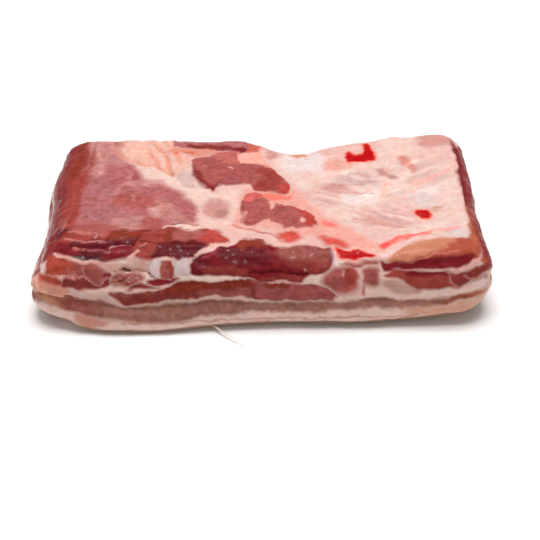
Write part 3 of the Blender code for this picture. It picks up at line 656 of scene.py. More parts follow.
# Thin lines: map, colour, half width, strength, how far the line rises, and its corners.
LINES = (
    # painted orange shade in the creases between the lobes of the clump
    ("top", "d88f72", 1.8, 0.65, -1.4, ((-114, 63), (-108, 55), (-100, 50), (-92, 46.5), (-84, 43),
        (-78, 37), (-74, 33), (-69, 28.5))),
    ("top", "e0906c", 1.8, 0.6, -0.6, ((-96, 46.6), (-90, 46))),
    ("top", "dc9478", 1.8, 0.65, -1.4, ((-90, 66), (-87, 55), (-83, 48), (-81, 42))),
    ("top", "d88c70", 1.8, 0.65, -1.4, ((-87, 76), (-80, 65), (-74, 52), (-71.5, 38), (-70, 31))),
    ("top", "dc9678", 1.8, 0.65, -1.4, ((-78, 79), (-72, 68), (-66, 53), (-64.5, 44))),
    ("top", "f4b49c", 1.8, 0.5, -1.0, ((-99, 72), (-94, 62), (-91, 52), (-89, 46))),
    ("top", "dc7444", 1.8, 0.8, -0.3, ((-71, 62.6), (-62, 63.6), (-54, 64))),
    ("top", "c03818", 1.0, 0.8, 0, ((-64, 62), (-56, 62))),
    # painted shade along the left and lower rims of the two islands, a painted highlight below the lower edge of one,
    # and pale flecks on it
    ("top", "7c2430", 2.0, 0.6, -0.4, ((-54, 44), (-53, 33), (-49, 21), (-43, 12), (-38, 11), (-32, 17),
        (-20, 17))),
    ("top", "8c3038", 1.6, 0.5, -0.3, ((-16, -6), (-16, -20), (-15, -34), (-10, -38), (-4, -35))),
    ("top", "eeb8ae", 1.0, 0.7, 0.3, ((-31, 14), (-25, 12), (-19, 14))),
    ("top", "e4a8a0", 0.9, 0.7, 0.3, ((-27, 40), (-24, 38))),
    ("top", "e4a8a0", 0.9, 0.7, 0.3, ((-46, 41), (-44, 39))),
    # pale strands of membrane over the mauve sheet
    ("top", "cc8c86", 2.6, 0.4, 0.5, ((-98, 38), (-101, 30), (-102, 22), (-106, 12), (-110, 0))),
    ("top", "cc948c", 1.8, 0.4, 0.3, ((-131, 78), (-128, 60), (-124, 44), (-123, 30))),
    ("top", "d09088", 1.2, 0.5, 0.2, ((-95.5, 0), (-95, -6))),
    ("top", "f4d2ca", 1.3, 0.85, 0.8, ((-71, -43), (-66, -40.5), (-60, -39.5), (-52, -41), (-45, -40))),
    ("top", "a46a6c", 1.3, 0.8, -0.8, ((-68, -38.5), (-64, -36), (-57, -35), (-50, -37.5), (-47, -36))),
    ("top", "e8b0a4", 1.0, 0.7, 0.3, ((-46, -22), (-45, -27), (-44, -32))),
    ("top", "c88078", 1.5, 0.5, 0.3, ((-134, -47), (-124, -48), (-112, -50))),
    ("top", "f8d0c8", 1.0, 0.7, 0.4, ((-86, 42), (-78, 35), (-70, 27), (-64, 20), (-56, 8), (-50, 2))),
    ("top", "f4d4ca", 1.0, 0.5, 0.3, ((-54, 22), (-48, 10), (-40, 2), (-34, 0))),
    ("top", "a05058", 1.0, 0.7, -0.8, ((-76, -7), (-68, -9), (-60, -14), (-56, -22), (-50, -25))),
    # the crease under the islands, the vein on the shoulder, and veins in the membrane
    ("top", "c86a58", 1.3, 0.85, -1.0, ((-22, -37), (-17, -41), (-9, -43), (-2, -46), (6, -49), (10, -54))),
    ("top", "a83428", 1.0, 0.8, -0.4, ((-6, -45), (4, -48))),
    ("top", "f2685e", 2.8, 0.9, 0.5, ((79, -64), (84, -58.5), (93, -53.5), (103, -50.5), (112, -47))),
    ("top", "f6a098", 2.6, 0.7, 0.4, ((112, -47), (122, -43), (134, -40))),
    ("top", "e84c4c", 3.0, 0.85, 0.2, ((79, -64), (82, -61))),
    ("top", "eeb0a6", 3.0, 0.7, 0.5, ((110, 18), (120, 25), (131, 33), (142, 44))),
    ("top", "f2b4a0", 1.4, 0.6, 0.2, ((84, -8), (85, 0), (87, 12), (89, 20))),
    ("top", "eeb4a8", 1.3, 0.5, 0.2, ((100, -2), (108, 8), (116, 20))),
    ("top", "e2b0ac", 1.6, 0.6, -0.3, ((92, 38), (94, 48), (97, 60))),
    ("top", "f07068", 1.2, 0.7, 0, ((40, -34), (45, -37), (50, -41))),
    ("top", "e0a49c", 1.0, 0.6, 0, ((33, 36), (34, 31))),
    # grooves between the muscle bundles under the membrane
    ("top", "cc9894", 1.0, 0.7, -0.6, ((43, 14), (50, 15.5), (57, 12), (66, 6), (78, 4))),
    ("top", "d4a4a2", 0.9, 0.6, -0.5, ((41, 10), (49, 12), (56, 8.5), (63, 4))),
    ("top", "d8acaa", 0.9, 0.5, -0.4, ((34, 8), (42, 4), (52, 2))),
    ("top", "cc9c9c", 1.0, 0.65, -0.6, ((62, 30), (69, 33), (76, 28), (80, 21))),
    ("top", "d4a6a6", 0.9, 0.55, -0.5, ((54, 25), (64, 27), (71, 26), (76, 20))),
    ("top", "dcb2b0", 0.9, 0.5, -0.4, ((54, 20), (64, 22), (72, 18))),
    ("top", "d4a8a8", 1.0, 0.5, -0.4, ((66, 38), (78, 36), (88, 32))),
    ("top", "cc9890", 1.1, 0.7, -0.6, ((85, 37), (91, 32), (98, 26))),
    ("top", "d8aca6", 0.9, 0.5, -0.4, ((88, 44), (97, 36), (104, 30))),
    ("top", "cc9890", 1.1, 0.65, -0.6, ((66, -24), (76, -26), (88, -31), (97, -36))),
    ("top", "d0a09a", 1.0, 0.6, -0.5, ((62, -30), (73, -31), (84, -36), (96, -40))),
    ("top", "d4a8a2", 0.9, 0.5, -0.4, ((58, -35), (68, -38), (80, -42))),
    ("top", "d4a49e", 1.0, 0.55, -0.5, ((78, -18), (90, -21), (102, -27), (108, -33))),
    ("top", "dab0aa", 0.9, 0.5, -0.4, ((84, -14), (96, -16), (106, -21))),
    ("top", "dcb4ae", 1.0, 0.5, -0.4, ((120, -18), (130, -19), (141, -20))),
    ("top", "b46a58", 1.2, 0.8, -0.7, ((98, -81), (107, -77), (113, -72), (118, -65))),
    # painted shade in the crevices between the lobes of the shoulder and under the big muscle's lower edge, with
    # painted highlights on their lips
    ("front", "4a0810", 1.4, 0.75, -1.3, ((-130, 67), (-120, 65.4), (-109, 66.6), (-99, 69), (-89, 68))),
    ("front", "cc8078", 0.9, 0.6, 0.6, ((-136, 72), (-126, 70.6), (-116, 70), (-108, 71.6))),
    ("front", "c87c78", 0.8, 0.5, 0.4, ((-118, 62), (-110, 63.4), (-104, 62))),
    ("front", "4e0a10", 1.2, 0.7, -1.0, ((-10, 44.6), (0, 46.6), (12, 44.6), (22, 43), (29, 44.4))),
    ("front", "52100e", 1.2, 0.6, -0.8, ((-84, 71), (-76, 69), (-64, 69.6), (-54, 68), (-44, 68.6))),
    # streaks and seams of the front wall
    ("front", "e0a494", 1.2, 0.85, 0.5, ((-144, 60.5), (-136, 57.8), (-128, 55), (-120, 53.2), (-110, 53))),
    ("front", "c08a88", 0.9, 0.7, 0.4, ((-103, 65), (-97, 66), (-91, 68))),
    ("front", "c88c8c", 0.9, 0.6, 0.5, ((-84, 66), (-80, 68))),
    ("front", "c07068", 0.9, 0.6, 0.4, ((-128, 65.5), (-124, 63.5), (-120, 63))),
    ("front", "e8b4a8", 1.2, 0.7, 0.3, ((-91, 58), (-87, 60.5), (-84.6, 62.5))),
    ("front", "4a1410", 1.5, 0.95, -1.6, ((-94, 48), (-91.4, 47))),
    ("front", "9c5c48", 0.7, 0.8, -0.8, ((-100, 46.2), (-94, 47.6), (-86, 46.4), (-79, 46.4), (-75.5, 44.4),
        (-72.6, 41))),
    ("front", "5c2c20", 0.6, 0.8, -0.6, ((-77, 46), (-75, 44), (-73, 41.6))),
    ("front", "d0968c", 0.7, 0.75, 0.4, ((-137, 38.5), (-133, 41), (-130, 41.6), (-127, 39.4), (-124, 41),
        (-120.6, 43.6), (-117, 40), (-115, 36.2), (-110.6, 35), (-106.6, 37.8), (-103.6, 41))),
    ("front", "c88c84", 1.0, 0.6, 0.2, ((-143, 43), (-138, 40.6), (-136, 37.6))),
    ("front", "b47a74", 1.2, 0.5, 0.2, ((-131, 47), (-129, 42))),
    ("front", "c48a80", 0.8, 0.5, 0.2, ((-120.4, 50), (-119.6, 44))),
    ("front", "cca090", 0.7, 0.6, 0.2, ((-102, 34), (-94, 37), (-86, 41), (-80, 43.6))),
    ("front", "cca090", 0.7, 0.5, 0.2, ((-100, 38), (-92, 41), (-86, 44))),
    ("front", "cca090", 0.7, 0.5, 0.2, ((-94, 33), (-86, 36), (-79, 39.6))),
    ("front", "d8b0a4", 0.7, 0.7, 0.2, ((-98, 29), (-86, 28.8), (-76, 30.2), (-68, 32.2), (-61, 35),
        (-55, 39))),
    # painted shade in the crease along the big muscle's upper left edge
    ("front", "4c060c", 1.2, 0.8, -0.9, ((-48.5, 55), (-44, 58.6), (-39, 60))),
    ("front", "9c4048", 1.2, 0.6, 0.3, ((-41, 57), (-36, 60.6), (-31, 63))),
    ("front", "e0b0a2", 1.2, 0.8, 0.5, ((-47, 60), (-42, 63), (-36, 66.4), (-30, 68), (-24, 69.4))),
    ("front", "a86468", 1.2, 0.6, 0.2, ((-9, 38), (-4, 36.6), (2, 37))),
    ("front", "ecdacc", 1.4, 0.6, 0.3, ((-58, 40.4), (-46, 41), (-32, 40.6), (-18, 41.4))),
    ("front", "d8a89c", 0.7, 0.75, 0.3, ((7, 37.2), (13, 38), (20, 36.8))),
    ("front", "c08a8a", 1.0, 0.7, 0.3, ((26.4, 47.4), (26.6, 46.8))),
    ("front", "a8889a", 1.2, 0.6, 0.3, ((44.6, 62), (45.4, 56), (46.4, 50))),
    ("front", "c8a8a0", 0.9, 0.7, 0.3, ((47, 50), (43, 46), (39, 42), (36.6, 37), (39, 34), (44, 31),
        (49, 27.6))),
    ("front", "d4a49a", 0.8, 0.6, 0.2, ((52, 48), (51.4, 42))),
    ("front", "d0aca0", 1.0, 0.75, 0.3, ((61.4, 48), (63.2, 42), (63.6, 36), (64.4, 31))),
    ("front", "d0aca0", 0.9, 0.65, 0.3, ((60, 49), (70, 49), (77, 49.2))),
    ("front", "d0b0a6", 1.0, 0.75, 0.3, ((76, 55), (78, 50), (78, 42), (79, 37))),
    ("front", "ac484a", 0.8, 0.8, 0, ((65.4, 33), (66.2, 29.5), (67.2, 26))),
    ("front", "c08a88", 0.8, 0.65, 0.3, ((86, 48.4), (92, 48.6), (97, 47.6), (104, 47))),
    ("front", "dca09c", 1.5, 0.85, 0.4, ((130, 47.6), (136, 49.6), (141, 53), (144.4, 57), (146, 62))),
    ("front", "cc8c8c", 0.9, 0.6, 0.3, ((121, 44.4), (125, 45.4), (130, 47.6))),
    ("front", "c08a88", 0.9, 0.5, 0.2, ((123.6, 43.6), (124.4, 38.6), (127, 34.8), (131, 34))),
    ("front", "c08a88", 0.9, 0.45, 0.2, ((133, 43.4), (136, 41), (139, 41.6))),
    ("front", "ba8c8a", 0.7, 0.5, -0.2, ((118, 31.6), (130, 33), (140, 37.4), (149, 43))),
    # painted shadow under the overhanging roll of fat at the left corner
    ("front", "8c3c2e", 1.0, 0.75, -1.0, ((-154, 28.5), (-148, 25.8), (-141, 24), (-132, 25),
        (-126, 25.2))),
    # a painted highlight along the lower left edge of the rolled fat
    ("front", "ecb8a4", 0.8, 0.75, 0.5, ((-152.6, 42), (-151.4, 35), (-148, 30), (-142, 26), (-135, 25.6),
        (-131, 27.6))),
    ("front", "c8a696", 0.8, 0.85, 0.3, ((-66, 19.8), (-58, 20.8), (-50, 21.4), (-44, 24), (-35, 25),
        (-28, 23.3), (-20, 23.7), (-15, 25), (-8, 22.6), (0, 21.6), (5, 20.6))),
    ("front", "b0705e", 1.0, 0.6, -0.3, ((-96, 1.6), (-40, 5), (0, 6.6), (60, 7.2), (104, 9.6))),
)

# Patches of fresh blood on the rib side, and the round end of a cut vessel.
BLOOD = (
    ((61.5, 51), (62, 60), (65, 65), (68, 62), (72, 61), (76, 66), (75, 76), (80, 77), (83, 68),
     (83.5, 58), (82, 52), (76, 51), (70, 49), (65, 49)),
    ((47, -66), (54, -68), (60, -68.5), (67, -69.5), (74, -73), (70, -76), (63, -77.5), (56, -79),
        (50, -77)),
    ((106, -24), (108, -19.5), (112, -18), (116, -20), (116.6, -25), (114, -29), (109, -29.6)),
)

# Fans of grooves in the rib side's membrane: middle (x, y), reach along and across, turn in degrees of
# the grooves, strength.
FANS = (
    ((52, 12), (15, 8), -24, 1.0),
    ((69, 26), (17, 9), -30, 1.1),
    ((86, -26), (27, 12), -27, 1.2),
    ((42, -2), (13, 10), -25, 0.8),
    ((92, 34), (11, 8), -36, 0.8),
    ((60, -31), (15, 8), -20, 0.7),
    ((121, -18), (16, 9), 10, 0.5),
    ((90, 10), (46, 8), 30, 0.6),
    ((116, 40), (26, 24), 34, 0.7),
    ((114, -44), (30, 8), 22, 0.6),
    ((60, 62), (26, 16), 8, 0.5),
    ((-104, -8), (34, 30), -10, 0.7),
    ((-112, 50), (12, 26), 76, 0.5),
)

# ---------------------------------------------------------------- fields of lean, fat, colour and relief

RIB_SIDE_HEIGHT = 51  # where the two maps are true, in mm
FRONT_PLANE = -86
FRONT_MAP_SLOPE = 0.713
FAR = 9.0  # mm from an outline past which a distance no longer matters
TAUTNESS = 0.38
BROWN_SOFTNESS = 2.0
SIDE_SOFTNESS = 1.8
LOBULE = 8.0  # mm across a lobule of soft fat
BASE_LEAN = "plum lean"
TOP_FAT = "blush fat"
WALL_FAT = "cream fat"
# painted shade: the orange tone laid into the creases between the lobules of soft fat
LOBULE_CREASE_SHADE = "eca486"
GROOVE = "ae7c84"
RIDGE = "fff2ea"
HALO = "ee9684"


def loop(corners, steps=3):
    """A closed outline that runs smoothly through its corners: each corner's slope is TAUTNESS times the
    step between its two neighbours, and a cubic joins it to the next."""
    start = np.array(corners, float)
    end = np.roll(start, -1, axis=0)
    slope = (end - np.roll(start, 1, axis=0)) * TAUTNESS
    next_slope = np.roll(slope, -1, axis=0)
    t = np.arange(steps)[None, :, None] / steps
    curve = (2 * t**3 - 3 * t**2 + 1) * start[:, None] + (t**3 - 2 * t**2 + t) * slope[:, None]
    curve += (3 * t**2 - 2 * t**3) * end[:, None] + (t**3 - t**2) * next_slope[:, None]
    return curve.reshape(-1, 2)


def near(place, corners, measure):
    """`measure` of the places that lie near the corners, and -FAR for the rest."""
    low, high = np.min(corners, axis=0) - FAR, np.max(corners, axis=0) + FAR
    close = np.all((place > low) & (place < high), axis=1)
    distance = np.full(len(place), -FAR)
    distance[close] = np.maximum(measure(place[close], corners), -FAR)
    return distance


def toward(tone, colour, share):
    """Moves each place's tone toward a colour by its share."""
    return tone + share[:, None] * (colour - tone)


def colour_run(at, places, tones):
    """Colours read along a line: straight runs between the tones at the given places."""
    colours = np.array([tissue(name) for name in tones])
    return np.stack([np.interp(at, places, colours[:, i]) for i in range(3)], axis=1)


def slab_maps(places):
    """The two maps that the regions are drawn on, each slid along a line that leans with the rib side's
    far slope, so that both run on over the shoulder."""
    x, y, z = places.T
    top = np.stack([x, y + (z - RIB_SIDE_HEIGHT) / (0.62 - 0.001 * y)], axis=1)
    front = np.stack([x, z + FRONT_MAP_SLOPE * (y - FRONT_PLANE)], axis=1)
    return {"top": top, "front": front}


def meat_fields(places, sideways, direction, around):
    """What each place of the meat is.

    Returns how far it lies inside lean (mm, negative in fat), how softly that border runs, the lean's
    and the fat's tones there, how far it lies inside blood, how far it rises, and the share of the
    side walls' layers in it.
    """
    warp = np.stack([1.3 * smooth_noise(places, 7, s) + 0.5 * smooth_noise(places, 2.5, s) for s in (3, 5, 7)])
    maps = slab_maps(places + warp.T)
    height = maps["front"][:, 1]
    wall = smooth_step(height, 62, 50)
    fat_tone = toward(np.tile(tissue(TOP_FAT), (len(places), 1)), tissue(WALL_FAT), wall)
    lean_tone = np.tile(tissue(BASE_LEAN), (len(places), 1))
    muscle = np.full(len(places), -FAR)
    edge = np.ones(len(places))
    rise = np.zeros(len(places))

    for kind, drawn_on, tone, softness, swell, corners in REGIONS:
        inside = near(maps[drawn_on], loop(corners), inside_distance)
        share = smooth_step(inside, -softness, softness / 2)
        if kind.startswith("lean"):
            lean_tone = toward(lean_tone, tissue(tone), share)
        else:
            fat_tone = toward(fat_tone, tissue(tone), share)
        if kind == "lean":
            edge = np.where(inside > muscle, softness, edge)
            muscle = np.maximum(muscle, inside)
        if kind == "fat":
            edge = np.where(-inside < muscle, softness, edge)
            muscle = np.minimum(muscle, -inside)
        if kind == "lobed fat":
            first, second = scattered_cells(places + warp.T, LOBULE, 2)
            swell = swell * (1 - 1.6 * first**2)
            # painted shade: the creases between the lobules are tinted toward the orange crease tone
            crease = share * (1 - smooth_step(second - first, 0, 0.3))
            fat_tone = toward(fat_tone, linear(LOBULE_CREASE_SHADE), 0.5 * crease)
        rise += swell * smooth_step(inside, -1, 2.5)

    for number, (middle, reach, turn, strength) in enumerate(FANS):
        at = maps["top"]
        share = strength * (1 - wall) * hill(at[:, 0], at[:, 1], middle, reach, turn)
        groove = smooth_noise(stretched(places, turn, 20, 2.9), 1, 70 + number)
        fat_tone = toward(fat_tone, linear(GROOVE), 0.5 * share * smooth_step(-groove, 0.05, 0.7))
        fat_tone = toward(fat_tone, linear(RIDGE), 0.4 * share * smooth_step(groove, 0.05, 0.7))
        rise += 0.45 * share * groove

    teeth = smooth_noise(places / (1.6, 8, 8), 1, 11) * (0.4 + 0.6 * smooth_step(places[:, 0], -60, 40))
    foot = smooth_curve(places[:, 0], BROWN_PLACES, BROWN_FOOT) + teeth
    band = np.minimum(height - foot, smooth_curve(places[:, 0], BROWN_PLACES, BROWN_TOP) - height)
    brown = colour_run(places[:, 0], *BROWN_TINTS)
    lean_tone = toward(lean_tone, brown, smooth_step(band, -1.5, 0))
    edge = np.where(band > muscle, BROWN_SOFTNESS, edge)
    muscle = np.maximum(muscle, band)

    side = smooth_step(sideways, 0.3, 0.75) * smooth_step(direction[:, 1], -0.62, -0.2)
    layer_height = places[:, 2] + 2.6 * smooth_noise(places, 40, 19) + 1.8 * smooth_noise(places, 15, 13) + warp[2]
    side_muscle = np.full(len(places), -FAR)
    side_tone = lean_tone
    for colour, swell, feet, tops in SIDE_LAYERS:
        low, high = smooth_curve(around, SIDE_PLACES, feet), smooth_curve(around, SIDE_PLACES, tops)
        band = np.minimum(layer_height - low, high - layer_height)
        side_muscle = np.maximum(side_muscle, band)
        side_tone = toward(side_tone, linear(colour), smooth_step(band, -1.5, 0.5))
        rise += side * swell * smooth_step(band, -1, 2)
    muscle = muscle * (1 - side) + side_muscle * side
    edge = edge * (1 - side) + SIDE_SOFTNESS * side
    lean_tone = lean_tone * (1 - side)[:, None] + side_tone * side[:, None]
    fat_tone = toward(fat_tone, tissue(WALL_FAT), side)

    for drawn_on, colour, half_width, strength, swell, corners in LINES:
        away = -near(maps[drawn_on], corners, lambda place, line: -line_distance(place, line))
        share = strength * (1 - side) * (1 - smooth_step(away, half_width * 0.4, half_width * 1.2))
        lean_tone = toward(lean_tone, linear(colour), share)
        fat_tone = toward(fat_tone, linear(colour), share)
        rise += swell * share

    blood = np.full(len(places), -FAR)
    for corners in BLOOD:
        blood = np.maximum(blood, near(maps["top"], loop(corners), inside_distance))
    blood = blood * (1 - side) - FAR * side
    fat_tone = toward(fat_tone, linear(HALO), 0.7 * smooth_step(blood, -4, 0.5))
    return muscle, edge, lean_tone, fat_tone, blood, rise, side


def meat_relief(places, sideways, muscle, side):
    """How far the surface stands out, in mm, over the slab's form.

    Broad and middling unevenness everywhere, lean sunk a little between proud fat on the walls,
    slanting wrinkles in the rib side's membrane, and folds along the left shoulder.
    """
    x, y, z = places.T
    top_side = 1 - smooth_step(sideways, 0.1, 0.5)
    shoulder = smooth_step(z, 38, 44) * smooth_step(-y, 48, 56) * smooth_step(-x, 25, 40)
    ribs = top_side * smooth_step(x, 20, 40) * smooth_step(-x, -140, -125)
    sheet = top_side * smooth_step(-x, 50, 80)
    out = 0.55 * smooth_noise(places, 18, 21) + 0.3 * layered_noise(places, 6, 23, 2)
    out += 0.2 * ribs * smooth_noise(stretched(places, 18, 26, 3.4), 1, 31)
    out += 0.3 * sheet * smooth_noise(stretched(places, 22, 22, 2.6), 1, 37)
    out += shoulder * 1.1 * smooth_noise(stretched(places, -4, 26, 6), 1, 41)
    out += 0.35 * (1 - top_side) * smooth_noise(places / (14, 14, 2.2), 1, 43)
    out -= 0.45 * (1 - top_side) * smooth_step(muscle, -0.8, 1.2)
    out += (0.16 + 0.12 * sheet) * smooth_noise(places, 2.6, 47) + 0.3 * sheet * smooth_noise(places, 4.5, 49)
    return out


# ---------------------------------------------------------------- meshes

MIDDLE = np.array([-3.846, -3.507, 0])  # of the slab's box, which stands over the origin
MEAT_CELLS = (284, 160, 48)
RIND_CELLS = (150, 84, 5)
MEAT_FOOT = 1.8  # where the meat's skin ends, hidden inside the rind
RIND_HEIGHT = 2.6  # how far the skin shows up the walls
RIND_PROUD = 0.35
RIND_LIP = 2.5


def cube_height(z):
    """The cube height of a level z mm up a wall."""
    return 2 * z / THICKNESS - 1


def new_piece(name, places, faces, material):
    """An object whose mesh holds the places (mm over the slab's plain block), in metres over the origin."""
    mesh = bpy.data.meshes.new(name)
    mesh.from_pydata(((places - MIDDLE) * MM).tolist(), [], faces)
    mesh.shade_smooth()
    mesh.materials.append(material)
    piece = bpy.data.objects.new(name, mesh)
    bpy.context.scene.collection.objects.link(piece)
    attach(piece, "root")
    return piece


def write_number(mesh, name, values):
    """Writes one number a vertex into a named attribute."""
    mesh.attributes.new(name, "FLOAT", "POINT").data.foreach_set("value", values.astype(np.float32))


def write_colour(mesh, name, colours):
    """Writes one linear colour a vertex into a named attribute."""
    opaque = np.concatenate([np.clip(colours, 0, 1), np.ones((len(colours), 1))], axis=1)
    mesh.attributes.new(name, "FLOAT_COLOR", "POINT").data.foreach_set(
        "color", opaque.astype(np.float32).ravel()
    )


def make_meat(material):
    """The meat's skin: the slab's form on a grid of about 1 mm, moved along its normals by the relief."""
    cube, faces = cube_shell(MEAT_CELLS, cube_height(MEAT_FOOT))
    places, normals, sideways, direction, around = slab_form(cube)
    muscle, edge, lean_tone, fat_tone, blood, rise, side = meat_fields(places, sideways, direction, around)
    relief = rise + meat_relief(places, sideways, muscle, side)
    relief *= smooth_step(places[:, 2], RIND_HEIGHT - 0.5, RIND_HEIGHT + 4)
    piece = new_piece("belly_meat", places + normals * relief[:, None], faces, material)

    shade = 1 + 0.10 * smooth_noise(places, 9, 51) + 0.07 * smooth_noise(places, 3.2, 53)
    sheet = 1 - smooth_step(sideways, 0.15, 0.6)
    grain = np.stack([
        sheet * smooth_step(-places[:, 0], 40, 60),
        sheet * smooth_step(places[:, 0], 15, 35),
        1 - sheet,
    ], axis=1)
    write_number(piece.data, "lean", muscle)
    write_number(piece.data, "edge", edge)
    write_number(piece.data, "blood", blood)
    write_colour(piece.data, "lean_tone", lean_tone * shade[:, None])
    write_colour(piece.data, "fat_tone", fat_tone * (0.5 + shade / 2)[:, None])
    write_colour(piece.data, "grain", grain)
    return piece


def make_rind(material):
    """The skin under the meat: the slab's underside and the foot of its walls, a little proud of the
    meat, with its upper edge turned in and closed."""
    cube, faces = cube_shell(RIND_CELLS, -cube_height(RIND_HEIGHT))
    cube[:, 2] *= -1
    faces = [face[::-1] for face in faces]
    places, normals = slab_form(cube)[:2]
    rim = 2 * (RIND_CELLS[0] + RIND_CELLS[1])
    out = np.full(len(places), RIND_PROUD) + 0.12 * smooth_noise(places, 5, 61)
    out *= np.clip(np.hypot(normals[:, 0], normals[:, 1]) * 2, 0, 1)
    out[-rim:] = -RIND_LIP
    return new_piece("belly_rind", places + normals * out[:, None], faces, material)


STRAND_LINE = ((-42, -83, 3.4), (-36, -89.5, 3.8), (-29, -96, 3.2), (-22, -102, 2.0), (-14, -108, 0.5))
STRAND_WIDTH = (0.75, 0.75, 0.6, 0.42, 0.12)  # half widths at those points


def make_strand(material):
    """A shred of membrane: a ring of half width w, flattened to 0.4 w, carried along a smooth line."""
    steps, sides = 60, 10
    t = np.linspace(0, 1, steps)
    knots = np.linspace(0, 1, len(STRAND_LINE))
    line = np.stack([smooth_curve(t, knots, axis) for axis in np.array(STRAND_LINE).T], axis=1)
    width = smooth_curve(t, knots, STRAND_WIDTH)
    along = np.gradient(line, axis=0)
    along /= np.linalg.norm(along, axis=1, keepdims=True)
    across = np.cross(along, (0, 0, 1))
    across /= np.linalg.norm(across, axis=1, keepdims=True)
    up = np.cross(across, along)
    turn = np.arange(sides) / sides * 2 * np.pi
    ring = across[:, None] * np.cos(turn)[:, None] + 0.4 * up[:, None] * np.sin(turn)[:, None]
    places = line[:, None] + ring * width[:, None, None]
    index = np.arange(steps * sides).reshape(steps, sides)
    after = np.roll(index, -1, axis=1)
    faces = np.stack([index[:-1], after[:-1], after[1:], index[1:]], axis=-1).reshape(-1, 4).tolist()
    faces += [index[0][::-1].tolist(), index[-1].tolist()]
    return new_piece("membrane_shred", places.reshape(-1, 3), faces, material)


# ---------------------------------------------------------------- materials


def add_node(material, kind, inputs=(), **settings):
    """Adds a node to a material: `settings` are its own, and `inputs` pairs each socket with a value
    or with the socket that feeds it."""
    tree = material.node_tree
    node = tree.nodes.new(kind)
    for name, value in settings.items():
        setattr(node, name, value)
    for socket, value in inputs:
        if isinstance(value, bpy.types.NodeSocket):
            tree.links.new(value, node.inputs[socket])
        else:
            node.inputs[socket].default_value = value
    return node


def new_material(name):
    """An empty node material."""
    material = bpy.data.materials.new(name)
    material.use_nodes = True
    material.node_tree.nodes.clear()
    return material


def opaque(code):
    """A hex code as a linear colour with alpha 1."""
    return (*linear(code), 1)


def speckle(material, place, size, detail=2.0, turn=0.0, stretch=(1, 1, 1)):
    """Noise from 0 to 1 with spots `size` mm wide, stretched by a factor along each turned axis."""
    scale = [1 / (size * MM * s) for s in stretch]
    turned = add_node(material, "ShaderNodeMapping", [
        ("Vector", place), ("Rotation", (0, 0, math.radians(-turn))),
    ])
    sized = add_node(material, "ShaderNodeVectorMath", [(0, turned.outputs[0]), (1, scale)],
                     operation="MULTIPLY")
    noise = add_node(material, "ShaderNodeTexNoise", [
        ("Vector", sized.outputs[0]), ("Scale", 1.0), ("Detail", detail), ("Roughness", 0.55),
    ])
    return noise.outputs["Fac"]


def ramp(material, value, low, high, out_low=0.0, out_high=1.0):
    """A smooth run from `out_low` at `low` to `out_high` at `high`."""
    return add_node(material, "ShaderNodeMapRange", [
        ("Value", value), ("From Min", low), ("From Max", high), ("To Min", out_low), ("To Max", out_high),
    ], interpolation_type="SMOOTHSTEP").outputs[0]


def combine(material, operation, first, second, third=0.0):
    """One sum, product or comparison of numbers."""
    return add_node(material, "ShaderNodeMath", [(0, first), (1, second), (2, third)],
                    operation=operation).outputs[0]


def blend(material, share, first, second, blend_type="MIX"):
    """Two colours blended by a share."""
    return add_node(material, "ShaderNodeMix", [(0, share), (6, first), (7, second)],
                    data_type="RGBA", blend_type=blend_type).outputs[2]


